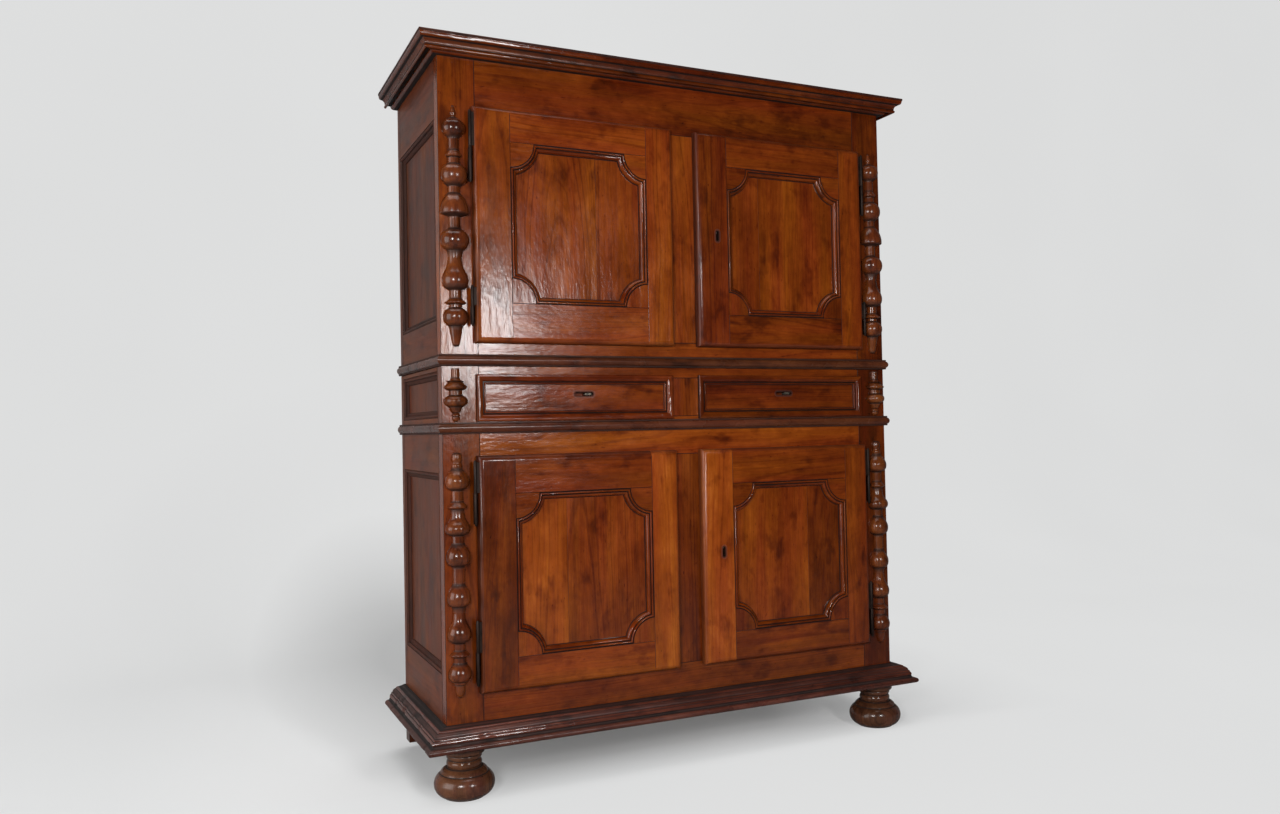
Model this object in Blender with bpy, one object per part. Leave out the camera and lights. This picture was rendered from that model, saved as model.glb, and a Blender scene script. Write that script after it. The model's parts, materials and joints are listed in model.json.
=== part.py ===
"""Two-part walnut sideboard with framed doors, lipped drawers, split turnings and bun feet."""
import math

import bmesh
import bpy
from mathutils import Vector

# Carcass sizes, in metres
WIDTH = 1.512
DEPTH = 0.530
FRAME_THICKNESS = 0.040
SIDE_THICKNESS = 0.030
BACK_THICKNESS = 0.016
BOARD_THICKNESS = 0.022
SHELF_THICKNESS = 0.020
STILE = 0.1055
POST = 0.105

# Heights of the storeys, from the floor upward
FOOT_HEIGHT = 0.1395
LOWER_BOTTOM_RAIL = 0.150
LOWER_OPENING = 0.636
MID_RAIL = 0.115
DRAWER_OPENING = 0.1165
DRAWER_TOP_RAIL = 0.031
LOWER_TOP = 0.032
UPPER_BOTTOM_RAIL = 0.044
UPPER_OPENING = 0.6415
UPPER_TOP_RAIL = 0.1745
UPPER_TOP = 0.020

# Mouldings
BASE_HEIGHT = 0.061
BASE_OVERHANG = 0.066
WAIST_HEIGHT = 0.032
WAIST_OVERHANG = 0.0135
CORNICE_HEIGHT = 0.0475
CORNICE_OVERHANG = 0.0614

# Doors
DOOR_OVERLAP = 0.0115
DOOR_THICKNESS = 0.026
DOOR_EDGE_ROUND = 0.015
DOOR_STILE_LEFT = 0.106
DOOR_STILE_RIGHT = 0.090
UPPER_LEFT_DOOR_TOP_RAIL = 0.094
UPPER_LEFT_DOOR_BOTTOM_RAIL = 0.112
UPPER_RIGHT_DOOR_TOP_RAIL = 0.101
UPPER_RIGHT_DOOR_BOTTOM_RAIL = 0.099
LOWER_DOOR_TOP_RAIL = 0.108
LOWER_DOOR_BOTTOM_RAIL = 0.093
SCOOP_RADIUS = 0.070
DOOR_MOULDING_WIDTH = 0.0215
PANEL_THICKNESS = 0.0095
REBATE_LAP = 0.012
KEYHOLE_INSET = 0.070
KEYHOLE_RISE = 0.012

# Drawers
DRAWER_LIP = 0.008
DRAWER_LIP_PROUD = 0.0115
DRAWER_FRONT_INSIDE = 0.020
DRAWER_MOULDING_WIDTH = 0.029
DRAWER_FIELD_SUNK = 0.002
DRAWER_BOX_HEIGHT = 0.098
DRAWER_BOX_DEPTH = 0.420
DRAWER_SIDE = 0.012
DRAWER_BOTTOM = 0.010
GUIDE_WIDTH = 0.020
GUIDE_HEIGHT = 0.030
LEFT_DRAWER_KEYHOLE = 0.0185
RIGHT_DRAWER_KEYHOLE = 0.0075
DRAWER_KEYHOLE_RISE = 0.010

# Hinges
UPPER_HINGE_HIGH = 0.205
UPPER_HINGE_LOW = 0.115
LOWER_HINGE = 0.183
HINGE_RADIUS = 0.006
HINGE_PIN_RADIUS = 0.0026
HINGE_OFFSET = 0.008
HINGE_FORWARD = 0.020
HINGE_BLADE = 0.022
HINGE_FROM_TOP = 0.012
UPPER_HINGE_FROM_BOTTOM = 0.0455
LOWER_HINGE_FROM_BOTTOM = 0.0225
HINGE_TIP = 0.005

# Locks
LOCK_PLATE_LONG = 0.090
LOCK_PLATE_SHORT = 0.074
LOCK_PLATE_THICKNESS = 0.002
LOCK_CASE_THICKNESS = 0.012
LOCK_PIN_RADIUS = 0.0022
DOOR_KEYHOLE_LENGTH = 0.032
DOOR_KEYHOLE_WIDTH = 0.009
DRAWER_KEYHOLE_LENGTH = 0.058
DRAWER_KEYHOLE_WIDTH = 0.010
DRAWER_TONGUE_LENGTH = 0.020
DRAWER_TONGUE_WIDTH = 0.006

# Split turnings on the stiles
UPPER_BALUSTER_INSET = 0.043
LOWER_BALUSTER_INSET = 0.039
UPPER_BALUSTER_RADIUS = 0.0405
LOWER_BALUSTER_RADIUS = 0.0345
SHORT_BALUSTER_RADIUS = 0.0335
UPPER_BALUSTER_DROP = 0.011
UPPER_BALUSTER_SHORT = 0.001
LOWER_BALUSTER_DROP = 0.006
LOWER_BALUSTER_RISE = 0.010

# Feet
FOOT_RADIUS = 0.084
FOOT_SOLE = 0.058
FOOT_BUN_HEIGHT = 0.076
FOOT_NECK = 0.043
FOOT_COLLAR = 0.0575
FOOT_COLLAR_HEIGHT = 0.020
FOOT_DOWEL_RADIUS = 0.012
FOOT_DOWEL_LENGTH = 0.040
REAR_FOOT_WIDTH = 0.100
REAR_FOOT_DEPTH = 0.046
REAR_FOOT_RISE = 0.100
REAR_PAD_INSET = 0.040
REAR_PAD_HEIGHT = 0.024

# Side panels
SIDE_PANEL_MARGIN = 0.004
SIDE_BACK_STILE = 0.036
SIDE_PANEL_SUNK = 0.014
SIDE_PANEL_MOULDING = 0.022
LOWER_SIDE_BOTTOM_RAIL = 0.1925
LOWER_SIDE_PANEL = 0.557
LOWER_SIDE_MID_RAIL = 0.156
LOWER_SIDE_DRAWER_PANEL = 0.130
UPPER_SIDE_BOTTOM_RAIL = 0.098
UPPER_SIDE_PANEL = 0.567

# Fits and seats
GAP = 0.0003
DOOR_GAP = 0.0005
LIP_GAP = 0.0015
DRAWER_FIT = 0.0020
SLOT_FIT = 0.0003
PIN_FIT = 0.00008
DADO = 0.007
SHELF_SETBACK = 0.035
LOWER_SHELF_RISE = 0.310
UPPER_SHELF_RISE = 0.320
BACK_PLANKS = 7
BACK_GROOVE = 0.004
BACK_GROOVE_DEPTH = 0.0025

# Levels that follow from the storey heights
Z_LOWER = FOOT_HEIGHT
Z_LOWER_DOOR = Z_LOWER + LOWER_BOTTOM_RAIL
Z_MID = Z_LOWER_DOOR + LOWER_OPENING
Z_DRAWER = Z_MID + MID_RAIL
Z_DRAWER_TOP = Z_DRAWER + DRAWER_OPENING
Z_TOP_BOARD = Z_DRAWER_TOP + DRAWER_TOP_RAIL
Z_UPPER = Z_TOP_BOARD + LOWER_TOP
Z_UPPER_DOOR = Z_UPPER + UPPER_BOTTOM_RAIL
Z_UPPER_RAIL = Z_UPPER_DOOR + UPPER_OPENING
Z_UPPER_TOP = Z_UPPER_RAIL + UPPER_TOP_RAIL
Z_SUMMIT = Z_UPPER_TOP + UPPER_TOP
Z_WAIST_TOP = Z_DRAWER - DRAWER_LIP - LIP_GAP
UPPER_DOOR_RISE = (Z_UPPER_DOOR - DOOR_OVERLAP, Z_UPPER_RAIL + DOOR_OVERLAP)
LOWER_DOOR_RISE = (Z_LOWER_DOOR - DOOR_OVERLAP, Z_MID + DOOR_OVERLAP)

# Places that follow from the plan sizes
HALF = WIDTH / 2
FRONT_Y = -(DEPTH - max(BASE_OVERHANG, CORNICE_OVERHANG)) / 2
SIDE_INNER = HALF - SIDE_THICKNESS
BACK_FACE = DEPTH - BACK_THICKNESS
INSIDE_FRONT = FRAME_THICKNESS + GAP
INSIDE_BACK = BACK_FACE - GAP
OPENING_OUT = HALF - STILE
OPENING_IN = POST / 2
DOOR_OUT = OPENING_OUT + DOOR_OVERLAP
DOOR_IN = OPENING_IN - DOOR_OVERLAP
DOOR_BACK = -DOOR_GAP
DOOR_FACE = DOOR_BACK - DOOR_THICKNESS
DOOR_LIP = DOOR_BACK - PANEL_THICKNESS - GAP
HINGE_X = DOOR_OUT + HINGE_OFFSET
HINGE_Y = -HINGE_FORWARD
FOOT_X = HALF - STILE / 2
FOOT_Y = FRAME_THICKNESS / 2

SIDES = (("left", -1), ("right", 1))


# Basic shapes
def material(name, colour, roughness, metallic):
    made = bpy.data.materials.new(name)
    made.use_nodes = True
    shader = made.node_tree.nodes["Principled BSDF"]
    shader.inputs["Base Color"].default_value = (*colour, 1.0)
    shader.inputs["Roughness"].default_value = roughness
    shader.inputs["Metallic"].default_value = metallic
    made.diffuse_color = (*colour, 1.0)
    return made


def place(name, bm, stuff, pivot=(0.0, 0.0, 0.0), smooth=0.0):
    """Put a body in the scene with its origin on the pivot."""
    bmesh.ops.recalc_face_normals(bm, faces=bm.faces)
    bmesh.ops.translate(bm, verts=bm.verts, vec=-Vector(pivot))
    mesh = bpy.data.meshes.new(name)
    bm.to_mesh(mesh)
    bm.free()
    if smooth:
        mesh.shade_smooth()
        mesh.set_sharp_from_angle(angle=math.radians(smooth))
    mesh.materials.append(stuff)
    body = bpy.data.objects.new(name, mesh)
    body.location = Vector(pivot) + Vector((0.0, FRONT_Y, 0.0))
    bpy.context.scene.collection.objects.link(body)
    return body


def skin(bm, loops):
    """Quads between equal loops, open at both ends."""
    rings = [[bm.verts.new(point) for point in loop] for loop in loops]
    for low, high in zip(rings, rings[1:]):
        for i in range(len(low)):
            bm.faces.new((low[i - 1], low[i], high[i], high[i - 1]))
    return rings


def loft(loops, bm=None):
    """Closed body through equal loops."""
    bm = bm or bmesh.new()
    rings = skin(bm, loops)
    bm.faces.new(rings[0][::-1])
    bm.faces.new(rings[-1])
    return bm


def fill_ring(bm, outer, inner):
    """Flat face between two loops that lie in one plane."""
    edges = []
    for ring in (outer, inner):
        for i in range(len(ring)):
            edges.append(bm.edges.get((ring[i - 1], ring[i])))
    bmesh.ops.triangle_fill(bm, use_beauty=True, edges=edges)


def rectangle(x0, x1, z0, z1, y):
    return [(x0, y, z0), (x1, y, z0), (x1, y, z1), (x0, y, z1)]


def box(x0, x1, y0, y1, z0, z1, bm=None):
    return loft([rectangle(x0, x1, z0, z1, y0), rectangle(x0, x1, z0, z1, y1)], bm)


def prism_along_y(outline, y0, y1):
    return loft([[(x, y, z) for x, z in outline] for y in (y0, y1)])


def ring_at(x, y, z, radius, steps, start=0.0, sweep=360.0):
    """Points of a level circle; a part circle includes both ends."""
    count = steps if sweep == 360.0 else steps + 1
    turns = [math.radians(start + sweep * k / steps) for k in range(count)]
    return [(x + radius * math.cos(t), y + radius * math.sin(t), z) for t in turns]


def arc(centre_p, centre_z, radius_p, radius_z, start, stop, steps):
    """Points of an elliptic arc in a moulding section."""
    turns = [math.radians(start + (stop - start) * k / steps) for k in range(steps + 1)]
    return [(centre_p + radius_p * math.cos(t), centre_z + radius_z * math.sin(t)) for t in turns]


def cut(body, cutter_bm):
    """Subtract a hidden cutter from a body."""
    mesh = bpy.data.meshes.new("cut_" + body.name)
    bmesh.ops.recalc_face_normals(cutter_bm, faces=cutter_bm.faces)
    cutter_bm.to_mesh(mesh)
    cutter_bm.free()
    cutter = bpy.data.objects.new("cut_" + body.name, mesh)
    cutter.location = (0.0, FRONT_Y, 0.0)
    cutter.hide_render = True
    cutter.display_type = "WIRE"
    bpy.context.scene.collection.objects.link(cutter)
    modifier = body.modifiers.new("cut", "BOOLEAN")
    modifier.operation = "DIFFERENCE"
    modifier.solver = "EXACT"
    modifier.object = cutter


def mirrored(span, side):
    """A span on the right, or its mirror image on the left."""
    return span if side > 0 else (-span[1], -span[0])


# Carcass
def grid_plate(us, vs, thickness, put, open_cells=(), sunk_cells=(), sunk_profile=()):
    """A plate of cells: some open right through, some with a sunk panel in the face."""
    bm = bmesh.new()
    face = [[bm.verts.new(put(u, v, 0.0)) for v in vs] for u in us]
    rear = [[bm.verts.new(put(u, v, thickness)) for v in vs] for u in us]
    cells = {(i, j) for i in range(len(us) - 1) for j in range(len(vs) - 1)} - set(open_cells)
    for i, j in sorted(cells):
        corners = ((i, j), (i + 1, j), (i + 1, j + 1), (i, j + 1))
        bm.faces.new([rear[a][b] for a, b in corners])
        ring = [face[a][b] for a, b in corners]
        if (i, j) in sunk_cells:
            for inset, depth in sunk_profile:
                u0, u1 = us[i] + inset, us[i + 1] - inset
                v0, v1 = vs[j] + inset, vs[j + 1] - inset
                spots = ((u0, v0), (u1, v0), (u1, v1), (u0, v1))
                inner = [bm.verts.new(put(u, v, depth)) for u, v in spots]
                for k in range(4):
                    bm.faces.new((ring[k - 1], ring[k], inner[k], inner[k - 1]))
                ring = inner
        bm.faces.new(ring)
        for k, (di, dj) in enumerate(((0, -1), (1, 0), (0, 1), (-1, 0))):
            if (i + di, j + dj) not in cells:
                (a, b), (c, d) = corners[k], corners[(k + 1) % 4]
                bm.faces.new((face[a][b], rear[a][b], rear[c][d], face[c][d]))
    return bm


def face_frame(name, zs, open_rows, stuff):
    xs = (-HALF, -OPENING_OUT, -OPENING_IN, OPENING_IN, OPENING_OUT, HALF)
    openings = [(column, row) for column in (1, 3) for row in open_rows]
    bm = grid_plate(xs, zs, FRAME_THICKNESS, lambda u, v, w: (u, w, v), openings)
    return place(name, bm, stuff)


def panelled_side(name, side, zs, panel_rows, boards, stuff):
    """A side with sunk panels outside and grooves for the boards inside."""
    panel_front = INSIDE_FRONT + SIDE_PANEL_MARGIN
    ys = (INSIDE_FRONT, panel_front, DEPTH - SIDE_BACK_STILE, DEPTH)
    wide, deep = SIDE_PANEL_MOULDING, SIDE_PANEL_SUNK
    profile = ((0.08 * wide, 0.2 * deep), (0.45 * wide, 0.36 * deep), (0.85 * wide, 0.8 * deep), (wide, deep))
    bm = grid_plate(ys, zs, SIDE_THICKNESS, lambda u, v, w: (side * (HALF - w), u, v),
                    sunk_cells=[(1, row) for row in panel_rows], sunk_profile=profile)
    body = place(name, bm, stuff)
    grooves = bmesh.new()
    for z0, z1 in boards:
        x0, x1 = mirrored((SIDE_INNER - DADO, SIDE_INNER + DADO), side)
        box(x0, x1, INSIDE_FRONT - DADO, BACK_FACE, z0 - GAP, z1 + GAP, grooves)
    cut(body, grooves)


def board(name, z0, z1, y0, stuff):
    reach = SIDE_INNER + DADO - GAP
    place(name, box(-reach, reach, y0, INSIDE_BACK, z0, z1), stuff)


def plank_back(name, z0, z1, stuff):
    """Upright planks with a shallow V at each joint, seen from behind."""
    half = SIDE_INNER - GAP
    outline = [(-half, BACK_FACE), (half, BACK_FACE), (half, DEPTH)]
    for k in range(1, BACK_PLANKS):
        joint = half - 2 * half * k / BACK_PLANKS
        outline += [(joint + BACK_GROOVE / 2, DEPTH), (joint, DEPTH - BACK_GROOVE_DEPTH),
                    (joint - BACK_GROOVE / 2, DEPTH)]
    outline.append((-half, DEPTH))
    place(name, loft([[(x, y, z) for x, y in outline] for z in (z0, z1)]), stuff)


def drawer_deck(name, stuff):
    """Board under the drawers with a guide at each side and one between."""
    reach = SIDE_INNER + DADO - GAP
    low = Z_DRAWER - BOARD_THICKNESS
    rib = Z_DRAWER + GUIDE_HEIGHT
    box_out = OPENING_OUT - DRAWER_FIT + 2 * GAP
    box_in = OPENING_IN + DRAWER_FIT - 2 * GAP
    right = [(reach, low), (reach, Z_DRAWER), (box_out + GUIDE_WIDTH, Z_DRAWER), (box_out + GUIDE_WIDTH, rib),
             (box_out, rib), (box_out, Z_DRAWER), (box_in, Z_DRAWER), (box_in, rib)]
    left = [(-x, z) for x, z in reversed(right)]
    place(name, prism_along_y(right + left, INSIDE_FRONT, INSIDE_BACK), stuff)


# Mouldings
def u_path(p, z):
    """Back left, front left, front right, back right at one overhang."""
    half = HALF + p
    return [(-half, DEPTH, z), (-half, -p, z), (half, -p, z), (half, DEPTH, z)]


def u_moulding(name, section, stuff):
    stations = zip(*[u_path(p, z) for p, z in section])
    place(name, loft([list(station) for station in stations]), stuff, smooth=35)


def base_section(z):
    """Torus at the foot, astragal, large ovolo and a bead under the carcass."""
    deep, tall = BASE_OVERHANG, BASE_HEIGHT
    points = [(GAP, z)]
    points += arc(deep - 0.009, z + 0.0085, 0.009, 0.0085, -90, 80, 5)
    points += [(deep - 0.0135, z + 0.0178)]
    points += arc(deep - 0.0185, z + 0.0220, 0.0045, 0.0038, -60, 110, 4)
    points += [(deep - 0.0215, z + 0.0268)]
    points += arc(deep - 0.0480, z + 0.0272, 0.0262, tall - 0.0362, 0, 66, 4)
    points += [(0.0262, z + tall - 0.0115)]
    points += arc(0.0195, z + tall - 0.0080, 0.0058, 0.0050, -35, 100, 4)
    return points + [(0.0100, z + tall - 0.0030), (0.0040, z + tall), (GAP, z + tall)]


def waist_section(z, tall, deep):
    """Nosing between two narrow fillets."""
    points = [(GAP, z), (deep - 0.006, z), (deep - 0.0055, z + 0.004)]
    points += arc(deep - 0.0095, z + tall / 2, 0.0095, tall / 2 - 0.0045, -70, 70, 6)
    return points + [(deep - 0.0055, z + tall - 0.004), (deep - 0.006, z + tall), (GAP, z + tall)]


def cornice_section(z):
    """Hollow soffit, two beads, cyma with a round nose and a square top fillet."""
    deep, tall = CORNICE_OVERHANG, CORNICE_HEIGHT
    points = [(GAP, z), (0.0100, z + 0.0026)]
    points += arc(deep - 0.0334, z + 0.0030, 0.0110, 0.0085, 140, 30, 4)
    points += arc(deep - 0.0229, z + 0.0070, 0.0042, 0.0052, -130, 70, 5)
    points += [(deep - 0.0234, z + 0.0130)]
    points += arc(deep - 0.0224, z + 0.0170, 0.0036, 0.0034, -60, 75, 3)
    points += arc(deep - 0.0084, z + 0.0215, 0.0130, 0.0115, 175, 105, 4)
    points += arc(deep - 0.0084, z + tall - 0.0070, 0.0078, 0.0075, -80, 10, 4)
    return points + [(deep, z + tall - 0.0050), (deep, z + tall), (GAP, z + tall)]


# Turned work: each shape is a run of points, as shares of its length and of its swelling
SHAPES = {
    "neck": ((0.12, 0.0), (0.88, 0.0)),
    "stem": ((0.0, 0.25), (0.10, 0.85), (0.40, 0.95), (0.60, 0.80), (0.75, 1.0), (0.95, 0.95)),
    "bullet": ((0.02, 1.0), (0.55, 0.93), (0.80, 0.62), (0.94, 0.30), (1.0, 0.05)),
    "blunt": ((0.0, 1.0), (0.50, 0.72), (0.85, 0.50), (0.96, 0.35), (1.0, 0.05)),
    "finial": ((0.0, 0.10), (0.30, 0.35), (0.55, 0.62), (0.75, 0.50), (0.92, 0.70)),
    "flare": ((0.10, 0.05), (0.60, 0.30), (0.98, 1.0)),
    "round": ((0.02, 0.14), (0.12, 0.55), (0.28, 0.88), (0.48, 1.0), (0.68, 0.92), (0.84, 0.66), (0.97, 0.20)),
    "dome": ((0.03, 0.10), (0.15, 0.40), (0.32, 0.77), (0.52, 0.98), (0.70, 0.98), (0.87, 0.77), (0.98, 0.22)),
    "bell": ((0.03, 0.12), (0.18, 0.46), (0.38, 0.77), (0.60, 0.95), (0.80, 1.0), (0.92, 0.92), (0.97, 0.35)),
    "pear": ((0.15, 0.02), (0.36, 0.18), (0.50, 0.52), (0.64, 0.92), (0.77, 1.0), (0.90, 0.82), (0.98, 0.22)),
    "ring": ((0.10, 0.10), (0.38, 0.60), (0.60, 1.0), (0.76, 0.97), (0.96, 0.12)),
}

# Shape, length, largest radius and neck radius, in millimetres from the top down
UPPER_TURNING = (
    ("finial", 38, 13, 2), ("round", 53, 33.5, 14), ("neck", 37, 16, 15.5), ("ring", 19, 23, 16),
    ("neck", 18, 18, 17.5), ("round", 62, 37.5, 18), ("neck", 21, 18, 17.5), ("bell", 63, 40, 18),
    ("neck", 36, 18, 17), ("round", 62, 40.5, 18), ("pear", 107, 37, 19), ("neck", 25, 18, 17.5),
    ("ring", 16, 30, 18), ("neck", 9, 19, 18.3), ("round", 51, 35, 19), ("blunt", 56, 19.5, 2),
)
LOWER_TURNING = (
    ("stem", 46, 14.5, 2), ("dome", 57, 32.5, 15), ("neck", 33, 16, 15.5), ("ring", 20, 26, 17),
    ("pear", 72, 34.5, 18), ("neck", 23, 17, 16.5), ("dome", 62, 33, 16), ("neck", 51, 17, 16.7),
    ("dome", 61, 31.7, 16), ("pear", 99, 31.7, 15.5), ("neck", 20, 16, 15.5), ("ring", 18, 26.6, 16),
    ("neck", 16, 18, 17.5), ("dome", 52, 31, 17), ("neck", 6, 20, 19), ("bullet", 39, 14, 2),
)
SHORT_TURNING = (
    ("neck", 29, 12, 11.7), ("flare", 9, 25, 12), ("ring", 25, 32.2, 19), ("neck", 14.5, 19, 18.5),
    ("round", 33, 33.5, 18), ("blunt", 17, 19, 6), ("ring", 10.5, 11.8, 9.5), ("bullet", 14.5, 11, 2),
)


def split_turning(name, x, elements, z0, z1, radius, stuff):
    """Half of a turned baluster with its flat on the stile."""
    total = sum(length for kind, length, largest, neck in elements)
    widest = max(largest for kind, length, largest, neck in elements)
    loops = []
    drop = 0.0
    for kind, length, largest, neck in elements:
        for along, swelling in SHAPES[kind]:
            z = z1 - (z1 - z0) * (drop + along * length) / total
            r = radius * (neck + (largest - neck) * swelling) / widest
            loops.append(ring_at(x, -GAP, z, r, 7, 180, 180))
        drop += length
    place(name, loft(loops), stuff, smooth=40)


def bun_foot(name, side, stuff):
    """Turned foot with a dowel that stands in the end of the stile."""
    middle = FOOT_BUN_HEIGHT / 2
    flat = FOOT_SOLE - 0.010
    collar = FOOT_HEIGHT - FOOT_COLLAR_HEIGHT
    hollow = (FOOT_BUN_HEIGHT + collar) / 2 + 0.002
    profile = [(FOOT_SOLE, 0.0)]
    profile += arc(flat, middle, FOOT_RADIUS - flat, middle - 0.001, -72, 66, 9)
    profile += [(FOOT_NECK + 0.010, FOOT_BUN_HEIGHT + 0.001), (FOOT_NECK + 0.007, FOOT_BUN_HEIGHT + 0.004)]
    profile += [(FOOT_NECK + 0.001, hollow - 0.008), (FOOT_NECK, hollow), (FOOT_NECK + 0.003, hollow + 0.008)]
    profile += [(FOOT_COLLAR - 0.005, collar), (FOOT_COLLAR - 0.001, collar + 0.003)]
    profile += [(FOOT_COLLAR, collar + 0.008), (FOOT_COLLAR, FOOT_HEIGHT)]
    profile += [(FOOT_DOWEL_RADIUS, FOOT_HEIGHT), (FOOT_DOWEL_RADIUS, FOOT_HEIGHT + FOOT_DOWEL_LENGTH)]
    loops = [ring_at(side * FOOT_X, FOOT_Y, z, r, 18) for r, z in profile]
    place(name, loft(loops), stuff, smooth=40)


def block_foot(name, side, stuff):
    """Square rear foot on a narrower pad; it runs up inside the corner of the side and the back."""
    xs = [side * x for x in (HALF - REAR_FOOT_WIDTH, HALF - REAR_PAD_INSET, SIDE_INNER - GAP, HALF)]
    ys = (DEPTH - REAR_FOOT_DEPTH, BACK_FACE - GAP, DEPTH)
    levels = (0.0, REAR_PAD_HEIGHT, FOOT_HEIGHT, FOOT_HEIGHT + REAR_FOOT_RISE)
    pad = {(0, 0, 0), (0, 1, 0)}
    block = {(i, j, 1) for i in range(3) for j in range(2)}
    tenon = {(0, 0, 2), (1, 0, 2)}
    place(name, stepped_block(xs, ys, levels, pad | block | tenon), stuff)


def stepped_block(xs, ys, zs, cells):
    """Body made of the filled cells of a small three-way grid."""
    bm = bmesh.new()
    spots = {}

    def corner(i, j, k):
        if (i, j, k) not in spots:
            spots[i, j, k] = bm.verts.new((xs[i], ys[j], zs[k]))
        return spots[i, j, k]

    walls = (((0, 0, 0), (0, 1, 0), (0, 1, 1), (0, 0, 1)), ((0, 0, 0), (1, 0, 0), (1, 0, 1), (0, 0, 1)),
             ((0, 0, 0), (1, 0, 0), (1, 1, 0), (0, 1, 0)))
    for i, j, k in sorted(cells):
        for axis, wall in enumerate(walls):
            for step in (0, 1):
                beside = [i, j, k]
                beside[axis] += 1 if step else -1
                if tuple(beside) in cells:
                    continue
                shift = [step if a == axis else 0 for a in range(3)]
                at = (i + shift[0], j + shift[1], k + shift[2])
                bm.faces.new([corner(at[0] + a, at[1] + b, at[2] + c) for a, b, c in wall])
    return bm


# Doors
def scooped(hole, inset, y):
    """Outline of an opening whose four corners are scooped by quarter circles."""
    x0, x1, z0, z1 = hole
    radius = SCOOP_RADIUS + inset
    first = math.asin(inset / radius)
    turns = [first + (math.pi / 2 - 2 * first) * k / 5 for k in range(6)]
    loop = []
    corners = ((x0, z0, 1, 1, -1), (x1, z0, -1, 1, 1), (x1, z1, -1, -1, -1), (x0, z1, 1, -1, 1))
    for cx, cz, sx, sz, order in corners:
        for t in turns[::order]:
            loop.append((cx + sx * radius * math.cos(t), y, cz + sz * radius * math.sin(t)))
    return loop


def door_moulding():
    """Inset and height: bead, quirk, ovolo and the drop to the panel."""
    wide = DOOR_MOULDING_WIDTH
    deep = DOOR_LIP - DOOR_FACE
    points = [(0.0, 0.0)]
    points += arc(0.0040, 0.0005, 0.0037, 0.0025, 170, 20, 3)
    points += [(0.0082, -0.0025)]
    points += arc(0.0090, -deep + 0.004, wide - 0.0095, deep - 0.0055, 90, 10, 4)
    return points + [(wide, -deep + 0.002), (wide, -deep)]


def door_frame(name, span, rise, rails, pivot, slots, keyhole, stuff):
    """Door frame with its scooped moulding, rebated behind for the panel."""
    (x0, x1), (z0, z1) = span, rise
    bm = bmesh.new()
    outer = [rectangle(x0, x1, z0, z1, DOOR_BACK)]
    for inset, rise_y in arc(DOOR_EDGE_ROUND, 0.0, -DOOR_EDGE_ROUND, -DOOR_EDGE_ROUND, 0, 90, 3):
        y = DOOR_FACE + DOOR_EDGE_ROUND + rise_y
        outer.append(rectangle(x0 + inset, x1 - inset, z0 + inset, z1 - inset, y))
    outer_rings = skin(bm, outer)
    hole = (x0 + DOOR_STILE_LEFT, x1 - DOOR_STILE_RIGHT, z0 + rails[0], z1 - rails[1])
    mould_rings = skin(bm, [scooped(hole, inset, DOOR_FACE - lift) for inset, lift in door_moulding()])
    seat = (hole[0] - REBATE_LAP, hole[1] + REBATE_LAP, hole[2] - REBATE_LAP, hole[3] + REBATE_LAP)
    seat_rings = skin(bm, [rectangle(*seat, DOOR_LIP), rectangle(*seat, DOOR_BACK)])
    fill_ring(bm, outer_rings[-1], mould_rings[0])
    fill_ring(bm, mould_rings[-1], seat_rings[0])
    fill_ring(bm, seat_rings[1], outer_rings[0])
    frame = place(name + "_frame", bm, stuff, pivot, smooth=30)
    cutters = bmesh.new()
    for x_near, x_far, low, high in slots:
        thick = blade_thickness() / 2 + SLOT_FIT
        box(min(x_near, x_far), max(x_near, x_far), HINGE_Y - thick, HINGE_Y + thick, low, high, cutters)
    if keyhole:
        size = (DOOR_KEYHOLE_LENGTH, DOOR_KEYHOLE_WIDTH)
        keyhole_cutter(cutters, keyhole, size, True, DOOR_FACE - 0.005, DOOR_BACK + 0.005)
    cut(frame, cutters)
    panel = (seat[0] + GAP, seat[1] - GAP, seat[2] + GAP, seat[3] - GAP)
    bm = loft([rectangle(*panel, DOOR_LIP + GAP), rectangle(*panel, DOOR_BACK)])
    place(name + "_panel", bm, stuff, pivot)


def keyhole_cutter(bm, centre, size, upright, y0, y1):
    """Round-ended slot right through a door stile or a drawer front."""
    long, wide = size
    loop = []
    for start, shift in ((-90, (long - wide) / 2), (90, (wide - long) / 2)):
        for k in range(5):
            t = math.radians(start + 45 * k)
            along = shift + wide / 2 * math.cos(t)
            across = wide / 2 * math.sin(t)
            loop.append((across, along) if upright else (along, across))
    loft([[(centre[0] + a, y, centre[1] + b) for a, b in loop] for y in (y0, y1)], bm)


# Hinges
def blade_thickness():
    return 2 * HINGE_RADIUS * math.sin(math.radians(15))


def knuckle(profile, facing, reach):
    """Twelve-sided barrel with a blade drawn out from the facet that faces one way."""
    bm = loft([ring_at(0.0, 0.0, z, r, 12, 15) for r, z in profile])
    bmesh.ops.recalc_face_normals(bm, faces=bm.faces)
    wanted = Vector(facing)
    facets = [f for f in bm.faces if f.normal.dot(wanted) > 0.99]
    facet = max(facets, key=lambda f: f.calc_center_median().dot(wanted))
    grown = bmesh.ops.extrude_discrete_faces(bm, faces=[facet])["faces"][0]
    apothem = HINGE_RADIUS * math.cos(math.radians(15))
    bmesh.ops.translate(bm, verts=grown.verts, vec=wanted * (reach - apothem))
    return bm


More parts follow.
